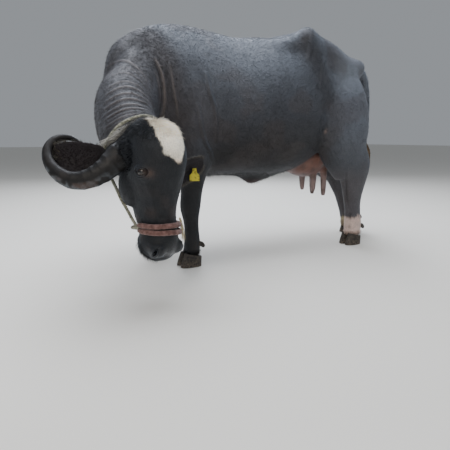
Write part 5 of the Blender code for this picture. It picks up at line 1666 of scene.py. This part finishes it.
def scatter(weight, count, draw):
    """Random roots: triangles drawn by area x weight, places (1 - sqrt a, sqrt a (1 - b), sqrt a b)."""
    share = np.cumsum(areas * weight)
    chosen = np.searchsorted(share, draw.uniform(0.0, share[-1], count)).clip(0, len(areas) - 1)
    a, b = np.sqrt(draw.random(count)), draw.random(count)
    mix = np.stack((1.0 - a, a * (1.0 - b), a * b), 1)[..., None]
    numbers = skin_triangles[chosen]
    return tuple((values[numbers] * mix).sum(1) for values in (skin_points, skin_normals, skin_tone_and_light))


def tufts(name, weight, count, seed, rings, length, width, rise, turn=None, gain=1.3, pale=None):
    """Places a piece of the coat: tufts with so many rings each, so many times the coat's length there,
    rising between two slopes along the direction that turn gives, gain times as bright as the hide."""
    draw = np.random.default_rng(seed)
    root, normal, tone = scatter(weight, count, draw)
    normal = unit(normal)
    along = lie(root, normal) if turn is None else turn(root, normal)
    along = unit(along + 0.16 * draw.normal(size=(count, 3)))
    reach = (hair_length(root) * length * draw.uniform(0.6, 1.25, count))[:, None]
    slope = draw.uniform(*rise, count)[:, None]
    root = root - 0.0006 * normal
    tip = root + along * reach + normal * reach * slope
    middle = root + 0.5 * along * reach + normal * reach * (0.75 * slope + 0.06)
    wide = width * draw.uniform(0.7, 1.3, count)
    if pale:
        tone = painted(tone, pale, draw.uniform(0.2, 0.9, count))
    tone = tone * (gain * draw.uniform(0.70, 1.30, count))[:, None]
    mesh = hair_mesh(name, (root, middle, tip, np.cross(normal, along), wide), tone, rings)
    place(name, mesh, hair, "hide")


# %% Short coat
body_part = (1.0 - in_head(middles)) * (1.0 - on_udder(middles))
is_neck, is_low = in_neck(middles), smooth_step(0.60, 0.55, middles[:, 2])
haired = body_part * (middles[:, 2] > 0.078)
trunk_part = haired * (1.0 - is_neck) * (1.0 - is_low)
near_side = middles[:, 1] < 0.0
on_top = middles[:, 2] > 1.12
local_middles = to_head(middles)
face = in_head(middles) * (1.0 - on_ear(middles)) * smooth_step(0.024, 0.034, from_eyes(local_middles))
face = face * smooth_step(0.045, 0.062, norms(local_middles - MUZZLE))
FLAT_RISE = (0.05, 0.18)     # the two slopes between which the short coat rises
# name, where it grows, number of tufts, seed and half width
SHORT_COAT = (
    ("coat_near_side", trunk_part * near_side * ~on_top, 46000, 50, 0.0008),
    ("coat_far_side", trunk_part * ~near_side * ~on_top, 38000, 51, 0.0008),
    ("coat_back", trunk_part * on_top, 48000, 52, 0.0008),
    ("coat_neck", haired * is_neck, 42000, 53, 0.0008),
    ("coat_legs", haired * is_low * (1.0 - is_neck), 32000, 54, 0.0009),
    ("coat_head", face, 46000, 60, 0.0007),
)
for name, weight, count, seed, width in SHORT_COAT:
    tufts(name, weight, count, seed, 1, 1.0, width, FLAT_RISE)
print("short coat placed")

# %% Longer hair
# ears, poll, chin, crest of the neck, brisket, horn roots, tail and coronets
# the pale bristles along this line are a painted highlight on the poll's edge
POLL_EDGE = ((135, 122), (126, 128), (117, 136), (108, 142))     # pixels of the pale bristles' line


def outwards(root, _):
    """Hair that stands off the ear's rim, away from the ear's middle line, and a little to its tip."""
    local = to_head(root)
    along = np.zeros(root.shape)
    for _, start, axis, _, here in ears_of(local):
        offset = local - start
        across = offset - (offset @ axis)[:, None] * axis
        along = along + here[:, None] * (unit(across) + 0.6 * axis)
    return unit(along @ HEAD_AXES)


def rim_of_ears(points):
    """1 near the ears' edges: far from the line from root to tip."""
    local, rim = to_head(points), np.zeros(len(points))
    for ear, start, axis, length, here in ears_of(local):
        along = (local - start) @ axis
        gap = norms(local - start - along[:, None] * axis)
        half = 0.5 * ear[4] * leaf(along / length)
        rim = np.maximum(rim, smooth_step(0.010, 0.003, half - gap * 0.98) * here)
    return rim * on_ear(points)


def over_horns(root, normal):
    """Hair that lies outwards over the horns' roots."""
    away = np.sign(to_head(root)[:, :1]) * np.array((1.0, 0.0, 0.0)) + np.array((0.0, -0.4, -0.25))
    return unit(away @ HEAD_AXES + 0.35 * normal)


def down_over_hoof(_, normal):
    """Hair of the coronet: down and a little outwards."""
    return unit(0.45 * normal - np.array(UP))


x, height, head_height = middles[:, 0], middles[:, 2], local_middles[:, 2]
is_head, ears = in_head(middles), on_ear(middles)
ear_tip = bump_at(local_middles, np.array(EARS["right"][1]), 0.030) * ears
poll = is_head * (1.0 - ears) * smooth_step(-0.09, -0.02, head_height)
poll_line = cast(through(POLL_EDGE, 14), skin_tree)
bristle_highlight = smooth_step(0.016, 0.006, distance_to(middles, poll_line)[0]) * (1.0 - ears)
chin = is_head * smooth_step(-0.50, -0.56, head_height) * (local_middles[:, 1] < 0.0)
crest = is_neck * smooth_step(0.2, 0.7, corners[:, 0, 2] - 0.75)
crest = crest + (1.0 - is_neck) * body_part * smooth_step(1.30, 1.38, height)
belly = smooth_step(0.62, 0.52, height) * (height > 0.44) * (np.abs(middles[:, 1]) < 0.13)
brisket = smooth_step(-0.30, -0.36, x) * (height < 0.75) * (1.0 - is_neck)
under = body_part * (belly + brisket)
horn_roots = [beside_head(np.array(HORN)[:3, :3], side) for side in (1, -1)]
at_horn = sum(smooth_step(0.085, 0.060, distance_to(middles, root)[0]) * (1.0 - ears) for root in horn_roots)
tail_part = smooth_step(TAIL_START, TAIL_START + 0.02, x) * (height > 0.5)
coronet = smooth_step(0.112, 0.098, height)
# name, where it grows, number of tufts, seed, and the further settings of tufts() in their order
LONG_HAIR = (
    ("coat_ears", ears, 9000, 70, 2, 1.1, 0.0008, (0.15, 0.5)),
    ("fringe_ears", rim_of_ears(middles), 2600, 71, 3, 1.7, 0.0008, (0.0, 0.15), outwards, 0.8, "#6b665c"),
    ("tuft_ear_tip", ear_tip, 260, 78, 3, 2.0, 0.0009, (0.0, 0.2), outwards, 1.0, "#8f8a7e"),
    ("tuft_poll", poll, 4000, 72, 2, 1.9, 0.0010, (0.15, 0.6)),
    # painted highlight: pale-tinted bristles on the poll's edge
    ("bristles_poll", bristle_highlight, 1000, 79, 3, 1.5, 0.0008, (0.4, 1.2), None, 1.1, "#c9c6bd"),
    ("hair_chin", chin, 1400, 73, 3, 4.5, 0.0006, (0.3, 0.9), None, 1.6),
    ("hair_crest", crest, 7000, 74, 2, 1.3, 0.0008, (0.15, 0.40), None, 1.4),
    ("hair_under", under, 3500, 75, 2, 1.6, 0.0009, (0.2, 0.6), None, 1.2),
    ("hair_horn_roots", at_horn, 3000, 77, 2, 2.4, 0.0009, (0.0, 0.25), over_horns, 1.3),
    ("hair_tail", tail_part, 3500, 76, 2, 1.3, 0.0008, (0.1, 0.5), None, 1.3),
    ("hair_coronets", coronet, 4000, 80, 2, 2.6, 0.0010, (0.0, 0.12), down_over_hoof, 1.1),
)
for settings in LONG_HAIR:
    tufts(*settings)
print("longer hair placed")

# %% [markdown]
# ## Floor, light and camera
#
# A pale floor and large soft lamps, as in a museum hall: one wide lamp overhead, a softer one from the
# front left that fills the face, and one from behind that draws the back's outline. The camera stands
# at the place from which the folds' pixels were read.

# %% Floor, light and camera
# Floor: pale, matt, painted plaster.
plaster, tree, shader = new_material("floor, painted plaster", Roughness=0.9)
shader.inputs["Base Color"].default_value = (*linear("#d9d6cf"), 1.0)
FLOOR_REACH = 40.0
floor_corners = FLOOR_REACH * np.array(((-1, -1, 0), (1, -1, 0), (1, 1, 0), (-1, 1, 0)))
floor = show("floor", mesh_of("floor", floor_corners, [np.array(((0, 1, 2, 3),))]))
floor.data.materials.append(plaster)


def lamp(name, spot, target, size, power, colour):
    """A square area lamp that looks at a point."""
    light = bpy.data.lights.new(name, "AREA")
    light.size, light.energy = size, power
    light.color = tuple(linear(colour))
    thing = bpy.data.objects.new(name, light)
    bpy.context.scene.collection.objects.link(thing)
    thing.location = spot
    thing.rotation_euler = (Vector(target) - Vector(spot)).to_track_quat("-Z", "Y").to_euler()


lamp("overhead", (-0.3, 0.4, 4.6), (0.0, 0.0, 1.0), 4.5, 400.0, "#f1f6ff")
lamp("front_left", (-3.6, -4.2, 3.0), (-0.5, -0.4, 0.7), 2.2, 110.0, "#fff4e6")
lamp("behind", (1.8, 4.4, 3.4), (0.2, 0.0, 1.1), 2.5, 220.0, "#eef4ff")

world = bpy.data.worlds.new("hall")
world.use_nodes = True
background = world.node_tree.nodes["Background"]
background.inputs["Color"].default_value = (*linear("#dfe5ec"), 1.0)
background.inputs["Strength"].default_value = 0.40
bpy.context.scene.world = world

camera_data = bpy.data.cameras.new("camera")
camera_data.sensor_width = 36.0
camera_data.lens = 36.0 * FOCAL / PICTURE
camera = bpy.data.objects.new("camera", camera_data)
bpy.context.scene.collection.objects.link(camera)
turned = Matrix((CAMERA_RIGHT, CAMERA_UP, -AHEAD)).transposed().to_4x4()
camera.matrix_world = Matrix.Translation(CAMERA + Vector(STEP)) @ turned
bpy.context.scene.camera = camera
print("camera at", tuple(round(c, 3) for c in camera.location))
